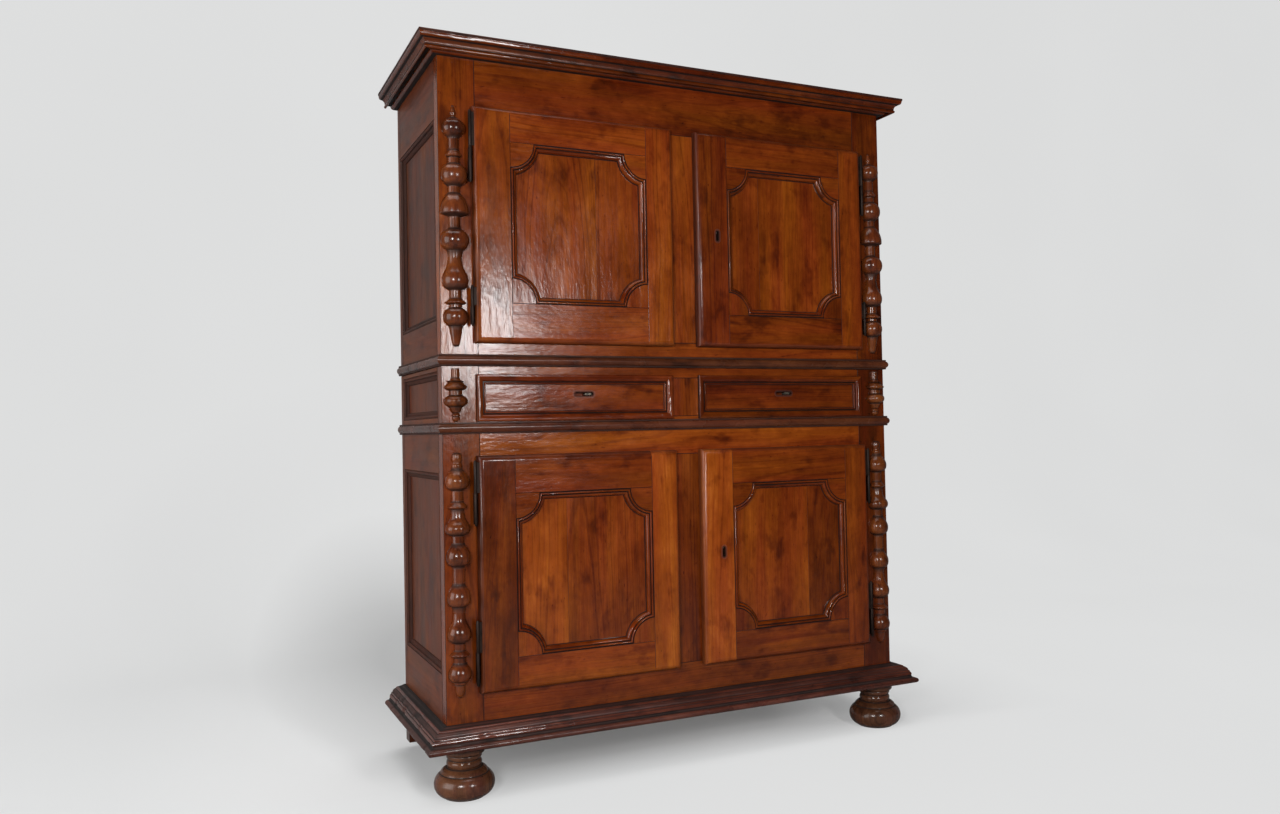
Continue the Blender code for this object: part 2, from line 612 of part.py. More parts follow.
def hinge(name, side, middle, half, iron, pivot):
    """Long barrel hinge: the stile knuckle carries the pin, the door knuckle turns on it."""
    lift = GAP / 2
    pin_top = 0.55 * half
    bore = (HINGE_PIN_RADIUS + PIN_FIT) / math.cos(math.radians(15))
    tip = 0.55 * HINGE_RADIUS
    centre = Vector((side * HINGE_X, HINGE_Y, middle))
    fixed = [(tip, -half), (HINGE_RADIUS, -half + HINGE_TIP), (HINGE_RADIUS, -lift),
             (HINGE_PIN_RADIUS, -lift), (HINGE_PIN_RADIUS, pin_top)]
    moving = [(bore, pin_top + GAP), (bore, lift), (HINGE_RADIUS, lift), (HINGE_RADIUS, half - HINGE_TIP)]
    moving += [(tip, half)]
    bm = knuckle(fixed, (0, 1, 0), HINGE_FORWARD + HINGE_BLADE)
    bmesh.ops.translate(bm, verts=bm.verts, vec=centre)
    place(name + "_fixed", bm, iron)
    bm = knuckle(moving, (-side, 0, 0), HINGE_OFFSET + HINGE_BLADE)
    bmesh.ops.translate(bm, verts=bm.verts, vec=centre)
    place(name + "_door", bm, iron, pivot)


def hinge_places(level):
    """Label, middle height and half length of the two hinges of a door."""
    if level == "upper":
        rise, high, low, foot = UPPER_DOOR_RISE, UPPER_HINGE_HIGH, UPPER_HINGE_LOW, UPPER_HINGE_FROM_BOTTOM
    else:
        rise, high, low, foot = LOWER_DOOR_RISE, LOWER_HINGE, LOWER_HINGE, LOWER_HINGE_FROM_BOTTOM
    upper = ("high", rise[1] - HINGE_FROM_TOP - high / 2, high / 2)
    return upper, ("low", rise[0] + foot + low / 2, low / 2)


def stile_mortises(bm, level):
    """Slots in the stile faces for the fixed blades."""
    thick = blade_thickness() / 2 + SLOT_FIT
    for label, side in SIDES:
        x0, x1 = side * HINGE_X - thick, side * HINGE_X + thick
        for where, middle, half in hinge_places(level):
            low = middle - half + HINGE_TIP - SLOT_FIT
            box(x0, x1, -0.005, HINGE_BLADE + SLOT_FIT, low, middle + SLOT_FIT, bm)


def lock(name, keyhole, upright, y_seat, tongue, tongue_at, reach, iron, pivot):
    """Plate and case on the back of the wood, with a tongue that stands in the keyhole."""
    wide, tall = LOCK_PLATE_SHORT, LOCK_PLATE_LONG
    if not upright:
        wide, tall = tall, wide
    marks = ((-1, -1), (0, -1), (1, -1), (1, 0), (1, 1), (0, 1), (-1, 1), (-1, 0))

    def eight(centre, half_x, half_z, y):
        return [(centre[0] + half_x * a, y, centre[1] + half_z * b) for a, b in marks]

    y_plate = y_seat + LOCK_PLATE_THICKNESS
    y_case = y_plate + LOCK_CASE_THICKNESS
    loops = [eight(keyhole, 0.38 * wide, 0.40 * tall, y_case),
             eight(keyhole, 0.40 * wide, 0.42 * tall, y_plate),
             eight(keyhole, wide / 2, tall / 2, y_plate), eight(keyhole, wide / 2, tall / 2, y_seat),
             eight(tongue_at, *tongue, y_seat), eight(tongue_at, *tongue, y_seat - reach)]
    place(name, loft(loops), iron, pivot)


def door(level, label, side, rise, rails, wood, iron):
    """One door with its panel, hinges and, on the right, its lock."""
    span = mirrored((DOOR_IN, DOOR_OUT), side)
    pivot = (side * HINGE_X, HINGE_Y, rise[0])
    slots = []
    for where, middle, half in hinge_places(level):
        near = side * (DOOR_OUT + HINGE_OFFSET)
        far = side * (DOOR_OUT - HINGE_BLADE - SLOT_FIT)
        slots.append((near, far, middle - SLOT_FIT, middle + half - HINGE_TIP + SLOT_FIT))
        hinge(f"hinge_{level}_{label}_{where}", side, middle, half, iron, pivot)
    keyhole = None
    if side > 0:
        keyhole = (DOOR_IN + KEYHOLE_INSET, (rise[0] + rise[1]) / 2 + KEYHOLE_RISE)
        pin_at = (keyhole[0], keyhole[1] + (DOOR_KEYHOLE_LENGTH - DOOR_KEYHOLE_WIDTH) / 2)
        pin = (LOCK_PIN_RADIUS, LOCK_PIN_RADIUS)
        reach = 0.7 * DOOR_THICKNESS
        lock(f"lock_{level}_door", keyhole, True, DOOR_BACK + GAP, pin, pin_at, reach, iron, pivot)
    door_frame(f"door_{level}_{label}", span, rise, rails, pivot, slots, keyhole, wood)


# Drawers
def drawer(label, side, wood, plain, iron):
    """Lipped front with a mitred moulding, a tray behind it and a lock."""
    x0, x1 = mirrored((OPENING_IN, OPENING_OUT), side)
    z0, z1 = Z_DRAWER, Z_DRAWER_TOP
    fit, lip = DRAWER_FIT, DRAWER_LIP
    seat = -DOOR_GAP
    loops = [rectangle(x0 + fit, x1 - fit, z0 + fit, z1 - fit, y) for y in (DRAWER_FRONT_INSIDE, seat)]
    proud, wide = DRAWER_LIP_PROUD, DRAWER_MOULDING_WIDTH
    profile = [(0.0, seat), (0.0, -0.6 * proud)]
    profile += arc(0.30 * wide, -0.6 * proud, 0.28 * wide, -0.4 * proud, 150, 60, 3)
    profile += [(0.66 * wide, -0.50 * proud), (0.72 * wide, -0.10 * proud)]
    profile += [(0.79 * wide, -0.40 * proud), (0.88 * wide, -0.36 * proud), (wide, DRAWER_FIELD_SUNK)]
    for d, y in profile:
        loops.append(rectangle(x0 - lip + d, x1 + lip - d, z0 - lip + d, z1 + lip - d, y))
    front = place(f"drawer_{label}_front", loft(loops), wood)
    shift = RIGHT_DRAWER_KEYHOLE if side > 0 else LEFT_DRAWER_KEYHOLE
    keyhole = ((x0 + x1) / 2 + shift, (z0 + z1) / 2 + DRAWER_KEYHOLE_RISE)
    cutter = bmesh.new()
    size = (DRAWER_KEYHOLE_LENGTH, DRAWER_KEYHOLE_WIDTH)
    keyhole_cutter(cutter, keyhole, size, False, -proud - 0.005, DRAWER_FRONT_INSIDE + 0.005)
    cut(front, cutter)
    back = DRAWER_FRONT_INSIDE + GAP
    tongue = (DRAWER_TONGUE_LENGTH / 2, DRAWER_TONGUE_WIDTH / 2)
    spare = DRAWER_KEYHOLE_LENGTH - DRAWER_KEYHOLE_WIDTH - DRAWER_TONGUE_LENGTH
    tongue_at = (keyhole[0] + spare / 2, keyhole[1])
    reach = 0.75 * DRAWER_FRONT_INSIDE
    lock(f"lock_{label}_drawer", keyhole, False, back, tongue, tongue_at, reach, iron, (0.0, 0.0, 0.0))
    low, high = z0 + GAP, z0 + DRAWER_BOX_HEIGHT
    tray = box(x0 + fit, x1 - fit, back, back + DRAWER_BOX_DEPTH, low, high)
    body = place(f"drawer_{label}_box", tray, plain)
    inset = fit + DRAWER_SIDE
    rear = back + DRAWER_BOX_DEPTH - DRAWER_SIDE
    hollow = box(x0 + inset, x1 - inset, back - 0.01, rear, low + DRAWER_BOTTOM, high + 0.01)
    cut(body, hollow)


# The whole piece
def lower_carcass(wood, dark, plain):
    zs = (Z_LOWER + GAP, Z_LOWER_DOOR, Z_MID, Z_DRAWER, Z_DRAWER_TOP, Z_TOP_BOARD)
    frame = face_frame("lower_face_frame", zs, (1, 3), wood)
    cutters = bmesh.new()
    stile_mortises(cutters, "lower")
    for label, side in SIDES:
        hole = FOOT_DOWEL_RADIUS + 3 * GAP
        ends = (Z_LOWER - 0.01, Z_LOWER + FOOT_DOWEL_LENGTH + GAP)
        loft([ring_at(side * FOOT_X, FOOT_Y, z, hole, 18) for z in ends], cutters)
    cut(frame, cutters)
    low = Z_LOWER + GAP
    rows = (low, Z_LOWER + LOWER_SIDE_BOTTOM_RAIL, Z_LOWER + LOWER_SIDE_BOTTOM_RAIL + LOWER_SIDE_PANEL)
    drawer_row = rows[2] + LOWER_SIDE_MID_RAIL
    zs = (*rows, drawer_row, drawer_row + LOWER_SIDE_DRAWER_PANEL, Z_TOP_BOARD)
    floor_board = (Z_LOWER_DOOR - BOARD_THICKNESS, Z_LOWER_DOOR)
    shelf_low = Z_LOWER_DOOR + LOWER_SHELF_RISE
    shelf = (shelf_low, shelf_low + SHELF_THICKNESS)
    deck = (Z_DRAWER - BOARD_THICKNESS, Z_DRAWER)
    for label, side in SIDES:
        panelled_side(f"lower_side_{label}", side, zs, (1, 3), (floor_board, shelf, deck), wood)
    board("lower_bottom", *floor_board, INSIDE_FRONT, plain)
    board("lower_shelf", *shelf, INSIDE_FRONT + SHELF_SETBACK, plain)
    drawer_deck("drawer_deck", plain)
    plank_back("lower_back", low, Z_TOP_BOARD, plain)
    edge = waist_section(Z_TOP_BOARD + GAP, LOWER_TOP - GAP, WAIST_OVERHANG)
    place("lower_top", loft([u_path(p, z) for p, z in edge[1:-1]]), dark, smooth=35)
    u_moulding("base_moulding", base_section(Z_LOWER), dark)
    waist = waist_section(Z_WAIST_TOP - WAIST_HEIGHT, WAIST_HEIGHT, WAIST_OVERHANG)
    u_moulding("lower_waist_moulding", waist, dark)


def upper_carcass(wood, dark, plain):
    low = Z_UPPER + GAP
    frame = face_frame("upper_face_frame", (low, Z_UPPER_DOOR, Z_UPPER_RAIL, Z_UPPER_TOP), (1,), wood)
    cutters = bmesh.new()
    stile_mortises(cutters, "upper")
    cut(frame, cutters)
    panel_low = Z_UPPER + UPPER_SIDE_BOTTOM_RAIL
    zs = (low, panel_low, panel_low + UPPER_SIDE_PANEL, Z_UPPER_TOP)
    floor_board = (Z_UPPER_DOOR - BOARD_THICKNESS, Z_UPPER_DOOR)
    shelf_low = Z_UPPER_DOOR + UPPER_SHELF_RISE
    shelf = (shelf_low, shelf_low + SHELF_THICKNESS)
    for label, side in SIDES:
        panelled_side(f"upper_side_{label}", side, zs, (1,), (floor_board, shelf), wood)
    board("upper_bottom", *floor_board, INSIDE_FRONT, plain)
    board("upper_shelf", *shelf, INSIDE_FRONT + SHELF_SETBACK, plain)
    plank_back("upper_back", low, Z_UPPER_TOP, plain)
    place("upper_top", box(-HALF, HALF, 0.0, DEPTH, Z_UPPER_TOP + GAP, Z_SUMMIT), plain)
    u_moulding("cornice", cornice_section(Z_SUMMIT - CORNICE_HEIGHT), dark)


def main():
    for old in list(bpy.data.objects):
        bpy.data.objects.remove(old)
    walnut = material("walnut", (0.150, 0.045, 0.012), 0.32, 0.0)
    dark = material("dark_walnut", (0.055, 0.020, 0.011), 0.35, 0.0)
    turned = material("turned_walnut", (0.105, 0.036, 0.011), 0.30, 0.0)
    plain = material("plain_board", (0.270, 0.155, 0.075), 0.65, 0.0)
    iron = material("iron", (0.030, 0.027, 0.025), 0.50, 1.0)
    lower_carcass(walnut, dark, plain)
    upper_carcass(walnut, dark, plain)
    upper_rails = {"left": (UPPER_LEFT_DOOR_BOTTOM_RAIL, UPPER_LEFT_DOOR_TOP_RAIL),
                   "right": (UPPER_RIGHT_DOOR_BOTTOM_RAIL, UPPER_RIGHT_DOOR_TOP_RAIL)}
    lower_rails = (LOWER_DOOR_BOTTOM_RAIL, LOWER_DOOR_TOP_RAIL)
    upper_span = (UPPER_DOOR_RISE[0] - UPPER_BALUSTER_DROP, UPPER_DOOR_RISE[1] - UPPER_BALUSTER_SHORT)
    lower_span = (LOWER_DOOR_RISE[0] - LOWER_BALUSTER_DROP, LOWER_DOOR_RISE[1] + LOWER_BALUSTER_RISE)
    short_span = (Z_WAIST_TOP + LIP_GAP, Z_TOP_BOARD - 2 * LIP_GAP)
    for label, side in SIDES:
        bun_foot(f"foot_front_{label}", side, turned)
        block_foot(f"foot_rear_{label}", side, dark)
        door("upper", label, side, UPPER_DOOR_RISE, upper_rails[label], walnut, iron)
        door("lower", label, side, LOWER_DOOR_RISE, lower_rails, walnut, iron)
        drawer(label, side, walnut, plain, iron)
        x_upper, x_lower = side * (HALF - UPPER_BALUSTER_INSET), side * (HALF - LOWER_BALUSTER_INSET)
        name = f"baluster_upper_{label}"
        split_turning(name, x_upper, UPPER_TURNING, *upper_span, UPPER_BALUSTER_RADIUS, turned)
        name = f"baluster_lower_{label}"
        split_turning(name, x_lower, LOWER_TURNING, *lower_span, LOWER_BALUSTER_RADIUS, turned)
        name = f"baluster_drawer_{label}"
        split_turning(name, x_lower, SHORT_TURNING, *short_span, SHORT_BALUSTER_RADIUS, turned)


main()
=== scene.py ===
"""Looks of the two-part walnut sideboard: its pieces, then the floor, the light and the camera.

Lengths are in metres and angles in degrees.
"""
import json
import random
from math import asin, cos, pi, radians, sin

import bmesh
import bpy
from mathutils import Matrix, Vector, noise


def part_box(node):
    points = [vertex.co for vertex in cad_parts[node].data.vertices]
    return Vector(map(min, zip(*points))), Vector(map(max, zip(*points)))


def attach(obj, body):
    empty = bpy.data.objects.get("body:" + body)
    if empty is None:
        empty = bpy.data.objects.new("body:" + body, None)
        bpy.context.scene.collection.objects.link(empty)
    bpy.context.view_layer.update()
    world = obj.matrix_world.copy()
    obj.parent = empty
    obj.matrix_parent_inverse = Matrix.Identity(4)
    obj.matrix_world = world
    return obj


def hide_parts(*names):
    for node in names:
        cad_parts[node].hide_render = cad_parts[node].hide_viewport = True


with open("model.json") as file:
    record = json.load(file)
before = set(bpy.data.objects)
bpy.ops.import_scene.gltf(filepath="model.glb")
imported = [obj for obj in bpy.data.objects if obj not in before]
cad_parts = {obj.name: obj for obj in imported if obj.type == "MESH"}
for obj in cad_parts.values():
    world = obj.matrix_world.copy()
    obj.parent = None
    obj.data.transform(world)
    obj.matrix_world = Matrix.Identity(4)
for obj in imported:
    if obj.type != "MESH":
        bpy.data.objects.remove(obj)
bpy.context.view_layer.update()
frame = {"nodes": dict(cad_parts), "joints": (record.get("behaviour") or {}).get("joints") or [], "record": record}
nodes = frame["nodes"]
scene = bpy.context.scene

# Places read from the solids
FACE_LOW, FACE_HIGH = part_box("upper_face_frame")
HALF = FACE_HIGH.x
FRONT = FACE_LOW.y
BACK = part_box("lower_back")[1].y
BASE_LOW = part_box("base_moulding")[0].z

# Clearance, joints and eased edges
GAP = 0.0003
JOINT = 0.0008
EASED_EDGE = 0.0011
SIDE_EDGE = 0.0006
FINE_EDGE = 0.0004

# Grime and painted shade of a point: 1 is a black quirk, 0 is clean, and below 0 the wood is rubbed bright
POLISHED = -0.4
# Painted shade on the sides, back and rounded edges of the doors
EDGE_PAINTED_SHADE = 0.55
JOINT_DIRT = 0.9

# Angles from which an edge stays sharp
SHARP_RUN, SHARP_TURNED, SHARP_DOOR, SHARP_BOARD = 38, 34, 32, 30

# Carcass, with the heights between which its rails, posts and side panels lie
POST_HALF = 0.0525
STILE_INSIDE = 0.6505
LOWER_LEVELS = (0.2895, 0.9255, 1.0405, 1.157)
UPPER_LEVELS = (1.264, 1.9055)
LOWER_PANELS = ((0.332, 0.889), (1.045, 1.175))
UPPER_PANELS = ((1.318, 1.885),)
SIDE_THICKNESS = 0.03
SIDE_STRIP = 0.004
SIDE_STILE = 0.036
SIDE_SUNK = 0.014
SIDE_MOULDING = 0.022
FOOT_SOLE = 0.058
FOOT_MIDDLE = 0.07
PAD_INSET = 0.04
PAD_HEIGHT = 0.024

# Doors and drawers
DOOR_THICKNESS = 0.026
DOOR_GAP = 0.0005
DOOR_BACK = FRONT - DOOR_GAP
DOOR_FACE = DOOR_BACK - DOOR_THICKNESS
EDGE_ROUND = 0.015
EDGE_STEPS = 6
DOOR_MOULDING = 0.0215
MEMBER_MIDDLE = 0.05
SCOOP_RADIUS = 0.07
SCOOP_STEPS = 14
PANEL_LAP = 0.0117
PANEL_DEPTH = 0.0162
PANEL_SHY = 0.0012
DRAWER_LIP = 0.0095
DRAWER_BEHIND = 0.02
DRAWER_SUNK = 0.002
DRAWER_MOULDING = 0.029

# Keyholes: length and width, then place or rise from the middle, and depth
DOOR_KEYHOLE = (0.032, 0.009)
DOOR_KEYHOLE_INSET = 0.07
DOOR_KEYHOLE_RISE = 0.012
DOOR_KEYHOLE_DEPTH = DOOR_THICKNESS - 0.001
DRAWER_KEYHOLE = (0.058, 0.01)
DRAWER_KEYHOLE_RISE = 0.01
DRAWER_KEYHOLE_DEPTH = 0.017
# The smudge round a keyhole: its width, then rings as a share of that width with their dirt
SMUDGE = 0.008
SMUDGE_RINGS = ((1, 0), (0.4, 0.45), (0, 0.9))
# Painted shade on the walls of a keyhole slot
SLOT_PAINTED_SHADE = 1

# Hinges; the ends of a barrel as shares of its radius, each with the distance from the end
BARREL_RADIUS = 0.0048
BLADE_HALF = 0.0014
BLADE_END = FRONT + 0.02
BARREL_TIP = ((0.25, 0), (0.7, 0.0015), (0.75, 0.004), (1, 0.006))
BARREL_MOUTH = ((1, 0.001), (0.92, 0))

# Lightness that is added for some boards, and how strong their growth rings are
SIDE_RAIL_LIGHT = 0.03
SIDE_PANEL_LIGHT = -0.02
RIM_LIGHT, RIM_FIGURE = -0.14, 0.6
CORNER_LIGHT, CORNER_FIGURE = -0.03, 0.5
BEAD_LIGHT, BEAD_SHARE, BEAD_FIGURE = -0.11, 0.3, 0.4
DRAWER_RIM_LIGHT = -0.08
REAR_FOOT_LIGHT = -0.05
BUN_FOOT_LIGHT = -0.03
TURNED_SPREAD, TURNED_FIGURE = 0.05, 0.8
RUN_FIGURE = 0.7

# Where boards start in the noise, and how far their pith may lie aside, behind and askew
GRAIN_START, GRAIN_STEP = 3, 0.37
PITH_SPANS = ((-0.12, 0.12), (0.03, 0.16), (-0.05, 0.05))


class Board:
    """Grain direction, colour and place of the pith for one piece of timber."""

    def __init__(self, centre, along, seed, light=0, figure=1, pith=None):
        chance = random.Random(seed)
        order = {"x": "xzy", "y": "yzx", "z": "zxy"}[along]
        self.axes = ["xyz".index(letter) for letter in order]
        self.centre = Vector(centre)
        self.shift = GRAIN_START + GRAIN_STEP * seed
        self.light = light
        self.figure = figure
        self.pith = pith or [chance.uniform(*span) for span in PITH_SPANS]

    def local(self, point):
        away = point - self.centre
        return [away[k] for k in self.axes]

    def grain(self, point):
        along, across, deep = self.local(point)
        return Vector((along + self.shift, across, deep))

    def rings(self, point):
        along, across, deep = self.local(point)
        side, depth, tilt = self.pith
        return Vector((across - side, deep + depth + tilt * along, 0))


STAMPED = ("grain", "rings", "tone")


def start():
    """An empty mesh that has room for grain, grime and painted shade."""
    bm = bmesh.new()
    for name in STAMPED:
        bm.loops.layers.float_vector.new(name)
    bm.verts.layers.float.new("dirt")
    return bm


def stamp(bm, faces, board, dirt=None):
    """Write the board's grain on these faces; the grime and painted shade is the points' own unless it is given.
    """
    grain, rings, tone = (bm.loops.layers.float_vector[name] for name in STAMPED)
    layer = bm.verts.layers.float["dirt"]
    for face in faces:
        for loop in face.loops:
            loop[grain] = board.grain(loop.vert.co)
            loop[rings] = board.rings(loop.vert.co)
            loop[tone] = Vector((board.light, loop.vert[layer] if dirt is None else dirt, board.figure))


def add(name, data):
    """A new object in the scene."""
    made = bpy.data.objects.new(name, data)
    scene.collection.objects.link(made)
    return made


def finish_piece(name, bm, replaced, stuff, sharp, body="carcass"):
    """Turn the mesh into a piece that rides on a body and stands for its solids."""
    bmesh.ops.recalc_face_normals(bm, faces=bm.faces)
    mesh = bpy.data.meshes.new(name)
    bm.to_mesh(mesh)
    bm.free()
    round_faces = [face.use_smooth for face in mesh.polygons]
    mesh.set_sharp_from_angle(angle=radians(sharp))
    mesh.polygons.foreach_set("use_smooth", round_faces)
    mesh.materials.append(stuff)
    made = add(name, mesh)
    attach(made, body)
    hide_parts(*replaced)


# Basic shapes
def arc(centre_a, centre_b, radius_a, radius_b, first, last, steps, third=0):
    """Points of an elliptic arc, all with the same third value: in a section, their grime and painted shade."""
    turns = [radians(first + (last - first) * k / steps) for k in range(steps + 1)]
    return [(centre_a + radius_a * cos(t), centre_b + radius_b * sin(t), third) for t in turns]


def stamp_mitred(bm, bands, centre, order, seed, light, figure=1):
    """Give each side of a mitred frame its own board."""
    for k, along in enumerate(order):
        stamp(bm, [band[k] for band in bands], Board(centre, along, seed + k, light, figure))


def rectangle(x0, x1, z0, z1, y):
    return [(x0, y, z0), (x1, y, z0), (x1, y, z1), (x0, y, z1)]


def ring_of(bm, loop):
    return [bm.verts.new(point) for point in loop]


def band_between(bm, low, high):
    """Smooth faces between two rings of points."""
    band = [bm.faces.new((low[i - 1], low[i], high[i], high[i - 1])) for i in range(len(low))]
    for face in band:
        face.smooth = True
    return band


def loft(bm, loops, closed=True, dirt=None):
    """Faces between equal loops; returns the bands of faces, with the end caps last."""
    layer = bm.verts.layers.float["dirt"]
    rings = []
    for k, loop in enumerate(loops):
        ring = ring_of(bm, loop)
        for vert in ring:
            vert[layer] = dirt[k] if dirt else 0
        rings.append(ring)
    bands = [band_between(bm, low, high) for low, high in zip(rings, rings[1:])]
    if closed:
        bands.append([bm.faces.new(rings[0][::-1]), bm.faces.new(rings[-1])])
    return bands


def plank(bm, low, high, along, seed, light=0, figure=1, eased=EASED_EDGE, pith=None):
    """A board, with dark eased edges unless eased is 0."""
    low, high = Vector(low), Vector(high)
    made = bmesh.ops.create_cube(bm, size=1)["verts"]
    size = high - low
    for vert in made:
        vert.co = low + Vector(((vert.co[k] + 0.5) * size[k] for k in range(3)))
    faces = list({face for vert in made for face in vert.link_faces})
    board = Board((low + high) / 2, along, seed, light, figure, pith)
    if eased:
        edges = list({edge for face in faces for edge in face.edges})
        result = bmesh.ops.bevel(bm, geom=edges, offset=eased, segments=1, profile=0.5, affect="EDGES")
        faces = list({face for vert in result["verts"] for face in vert.link_faces})
        flat = [face for face in faces if max(abs(part) for part in face.normal) > 0.99]
        stamp(bm, [face for face in faces if face not in flat], board, JOINT_DIRT)
        faces = flat
    stamp(bm, faces, board)


# Materials
class Nodes:
    """A node tree that is strung together by short calls."""

    def __init__(self, tree):
        self.tree = tree

    def node(self, kind, inputs=None, **settings):
        made = self.tree.nodes.new("ShaderNode" + kind)
        for key, value in settings.items():
            setattr(made, key, value)
        for key, value in (inputs or {}).items():
            self.put(made.inputs[key], value)
        return made

    def put(self, socket, value):
        if isinstance(value, bpy.types.NodeSocket):
            self.tree.links.new(value, socket)
        else:
            socket.default_value = value

    def math(self, kind, a, b=0, clamp=False):
        return self.node("Math", {0: a, 1: b}, operation=kind, use_clamp=clamp).outputs[0]

    def vector(self, kind, a, b):
        return self.node("VectorMath", {0: a, 1: b}, operation=kind).outputs[0]

    def length(self, value):
        return self.node("VectorMath", {0: value}, operation="LENGTH").outputs["Value"]

    def parts(self, value):
        return self.node("SeparateXYZ", {0: value}).outputs

    def place(self, kind="Object"):
        return self.node("TexCoord").outputs[kind]

    def oval(self, place, centre, scale):
        """Distance from the centre, with each axis scaled."""
        return self.length(self.vector("MULTIPLY", self.vector("SUBTRACT", place, centre), scale))

    def attribute(self, name):
        return self.node("Attribute", attribute_name=name).outputs["Vector"]

    def noise(self, place, stretch, detail=3, rough=0.55, output="Fac"):
        stretched = self.vector("MULTIPLY", place, stretch)
        settings = {"Vector": stretched, "Scale": 1, "Detail": detail, "Roughness": rough}
        return self.node("TexNoise", settings).outputs[output]

    def ramp(self, value, stops):
        made = self.node("ValToRGB", {"Fac": value})
        points = made.color_ramp.elements
        while len(points) < len(stops):
            points.new(0.5)
        for point, (position, colour) in zip(points, stops):
            point.position = position
            point.color = (*colour, 1)
        return made.outputs["Color"]

    def mix(self, share, a, b):
        made = self.node("Mix", data_type="RGBA", blend_type="MIX")
        self.put(made.inputs["Factor"], share)
        self.put(made.inputs[6], a)
        self.put(made.inputs[7], b)
        return made.outputs[2]

    def mix_shader(self, share, a, b):
        return self.node("MixShader", {0: share, 1: a, 2: b}).outputs[0]

    def spread(self, value, low, high, to_low, to_high):
        settings = {"Value": value, "From Min": low, "From Max": high, "To Min": to_low, "To Max": to_high}
        return self.node("MapRange", settings).outputs["Result"]

    def bump(self, height, strength, distance, over=None):
        settings = {"Height": height, "Strength": strength, "Distance": distance}
        if over:
            settings["Normal"] = over
        return self.node("Bump", settings).outputs["Normal"]


class Shader(Nodes):
    """A new material and its surface."""

    def __init__(self, name):
        self.material = bpy.data.materials.new(name)
        self.material.use_nodes = True
        super().__init__(self.material.node_tree)
        self.surface = self.tree.nodes["Principled BSDF"]

    def set(self, **values):
        for key, value in values.items():
            self.put(self.surface.inputs[key.replace("_", " ")], value)


# The part of a noise's range that most of it falls in
USUAL = (0.3, 0.7)
RINGS_PER_METRE = 150
RING_BEND = 0.045

# What lightens and darkens the timber: stretch of the noise along and across the grain, its detail and
# roughness, the part of its range that counts, and what the two ends of that part add
LAYERS = {
    "streak": (1.3, 75, 5, 0.62, 0.28, 0.72, -0.05, 0.06),
    "broad": (0.9, 20, 3, 0.5, *USUAL, -0.055, 0.055),
    "fibre": (14, 430, 3, 0.6, *USUAL, -0.055, 0.055),
    "patch": (4.6, 10, 4, 0.6, *USUAL, -0.13, 0.13),
    "stain": (9, 16, 3, 0.6, 0.55, 0.72, 0.01, -0.22),
    "mottle": (26, 36, 3, 0.65, *USUAL, -0.045, 0.045),
    "pits": (60, 170, 1, 0.55, 0.71, 0.8, 0, -0.22),
}


def wood(name, reds, golds, shade_and_grime_colour, roughness, coat, specular, crackle=0.0002, contrast=1):
    """Polished timber: bent growth rings, the layers above, patchy polish, and grime and painted shade in the
    quirks and creases.
    """
    s = Shader(name)
    grain = s.attribute("grain")
    tone = s.parts(s.attribute("tone"))
    light, dirt, figure = tone["X"], tone["Y"], tone["Z"]
    bend = s.vector("SUBTRACT", s.noise(grain, (1.6, 8, 8), 2, output="Color"), (0.5, 0.5, 0.5))
    bend = s.vector("MULTIPLY", bend, (RING_BEND, RING_BEND, 0))
    radius = s.length(s.vector("ADD", s.attribute("rings"), bend))
    years = {"W": s.math("MULTIPLY", radius, RINGS_PER_METRE), "Scale": 1, "Detail": 2, "Roughness": 0.6}
    late = s.node("TexNoise", years, noise_dimensions="1D").outputs["Fac"]
    value = s.math("MULTIPLY", s.spread(late, 0.5, 0.72, 0.015, -0.085), figure)
    layer = {}
    for kind, (along, across, detail, rough, *span) in LAYERS.items():
        layer[kind] = s.noise(grain, (along, across, across), detail, rough)
        value = s.math("ADD", value, s.spread(layer[kind], *span))
    value = s.math("ADD", s.math("MULTIPLY", value, contrast), light)
    value = s.math("ADD", value, 0.5, clamp=True)
    warm = s.spread(s.noise(grain, (1.1, 13, 13)), 0.36, 0.64, 0, 1)
    colour = s.mix(warm, s.ramp(value, reds), s.ramp(value, golds))
    # Painted shade and grime: the colour is drawn towards the dark colour given for them where a point is marked
    # dark
    shaded_and_soiled = s.math("MULTIPLY", dirt, s.spread(layer["patch"], 0.3, 0.6, 0.8, 1.1), clamp=True)
    colour = s.mix(shaded_and_soiled, colour, (*shade_and_grime_colour, 1))
    dull = s.spread(layer["patch"], *USUAL, roughness - 0.03, roughness + 0.07)
    dull = s.math("ADD", dull, s.spread(dirt, POLISHED, 0, -0.09, 0))
    dull = s.math("ADD", dull, s.spread(dirt, 0, 1, 0, 0.7), clamp=True)
    ridges = s.math("ADD", s.math("MULTIPLY", layer["fibre"], 0.5), s.math("MULTIPLY", layer["streak"], 0.8))
    ridges = s.math("ADD", ridges, layer["stain"])
    planed = s.bump(s.noise(grain, (3, 11, 11), 2), 1, 0.003)
    crazed = s.bump(s.noise(grain, (40, 110, 110), 1), 1, crackle, planed)
    s.set(Base_Color=colour, Roughness=dull, Normal=s.bump(ridges, 0.3, 0.0008, crazed))
    s.set(Coat_Weight=coat, Coat_Roughness=0.14, Coat_IOR=1.5, Specular_IOR_Level=specular)
    return s.material


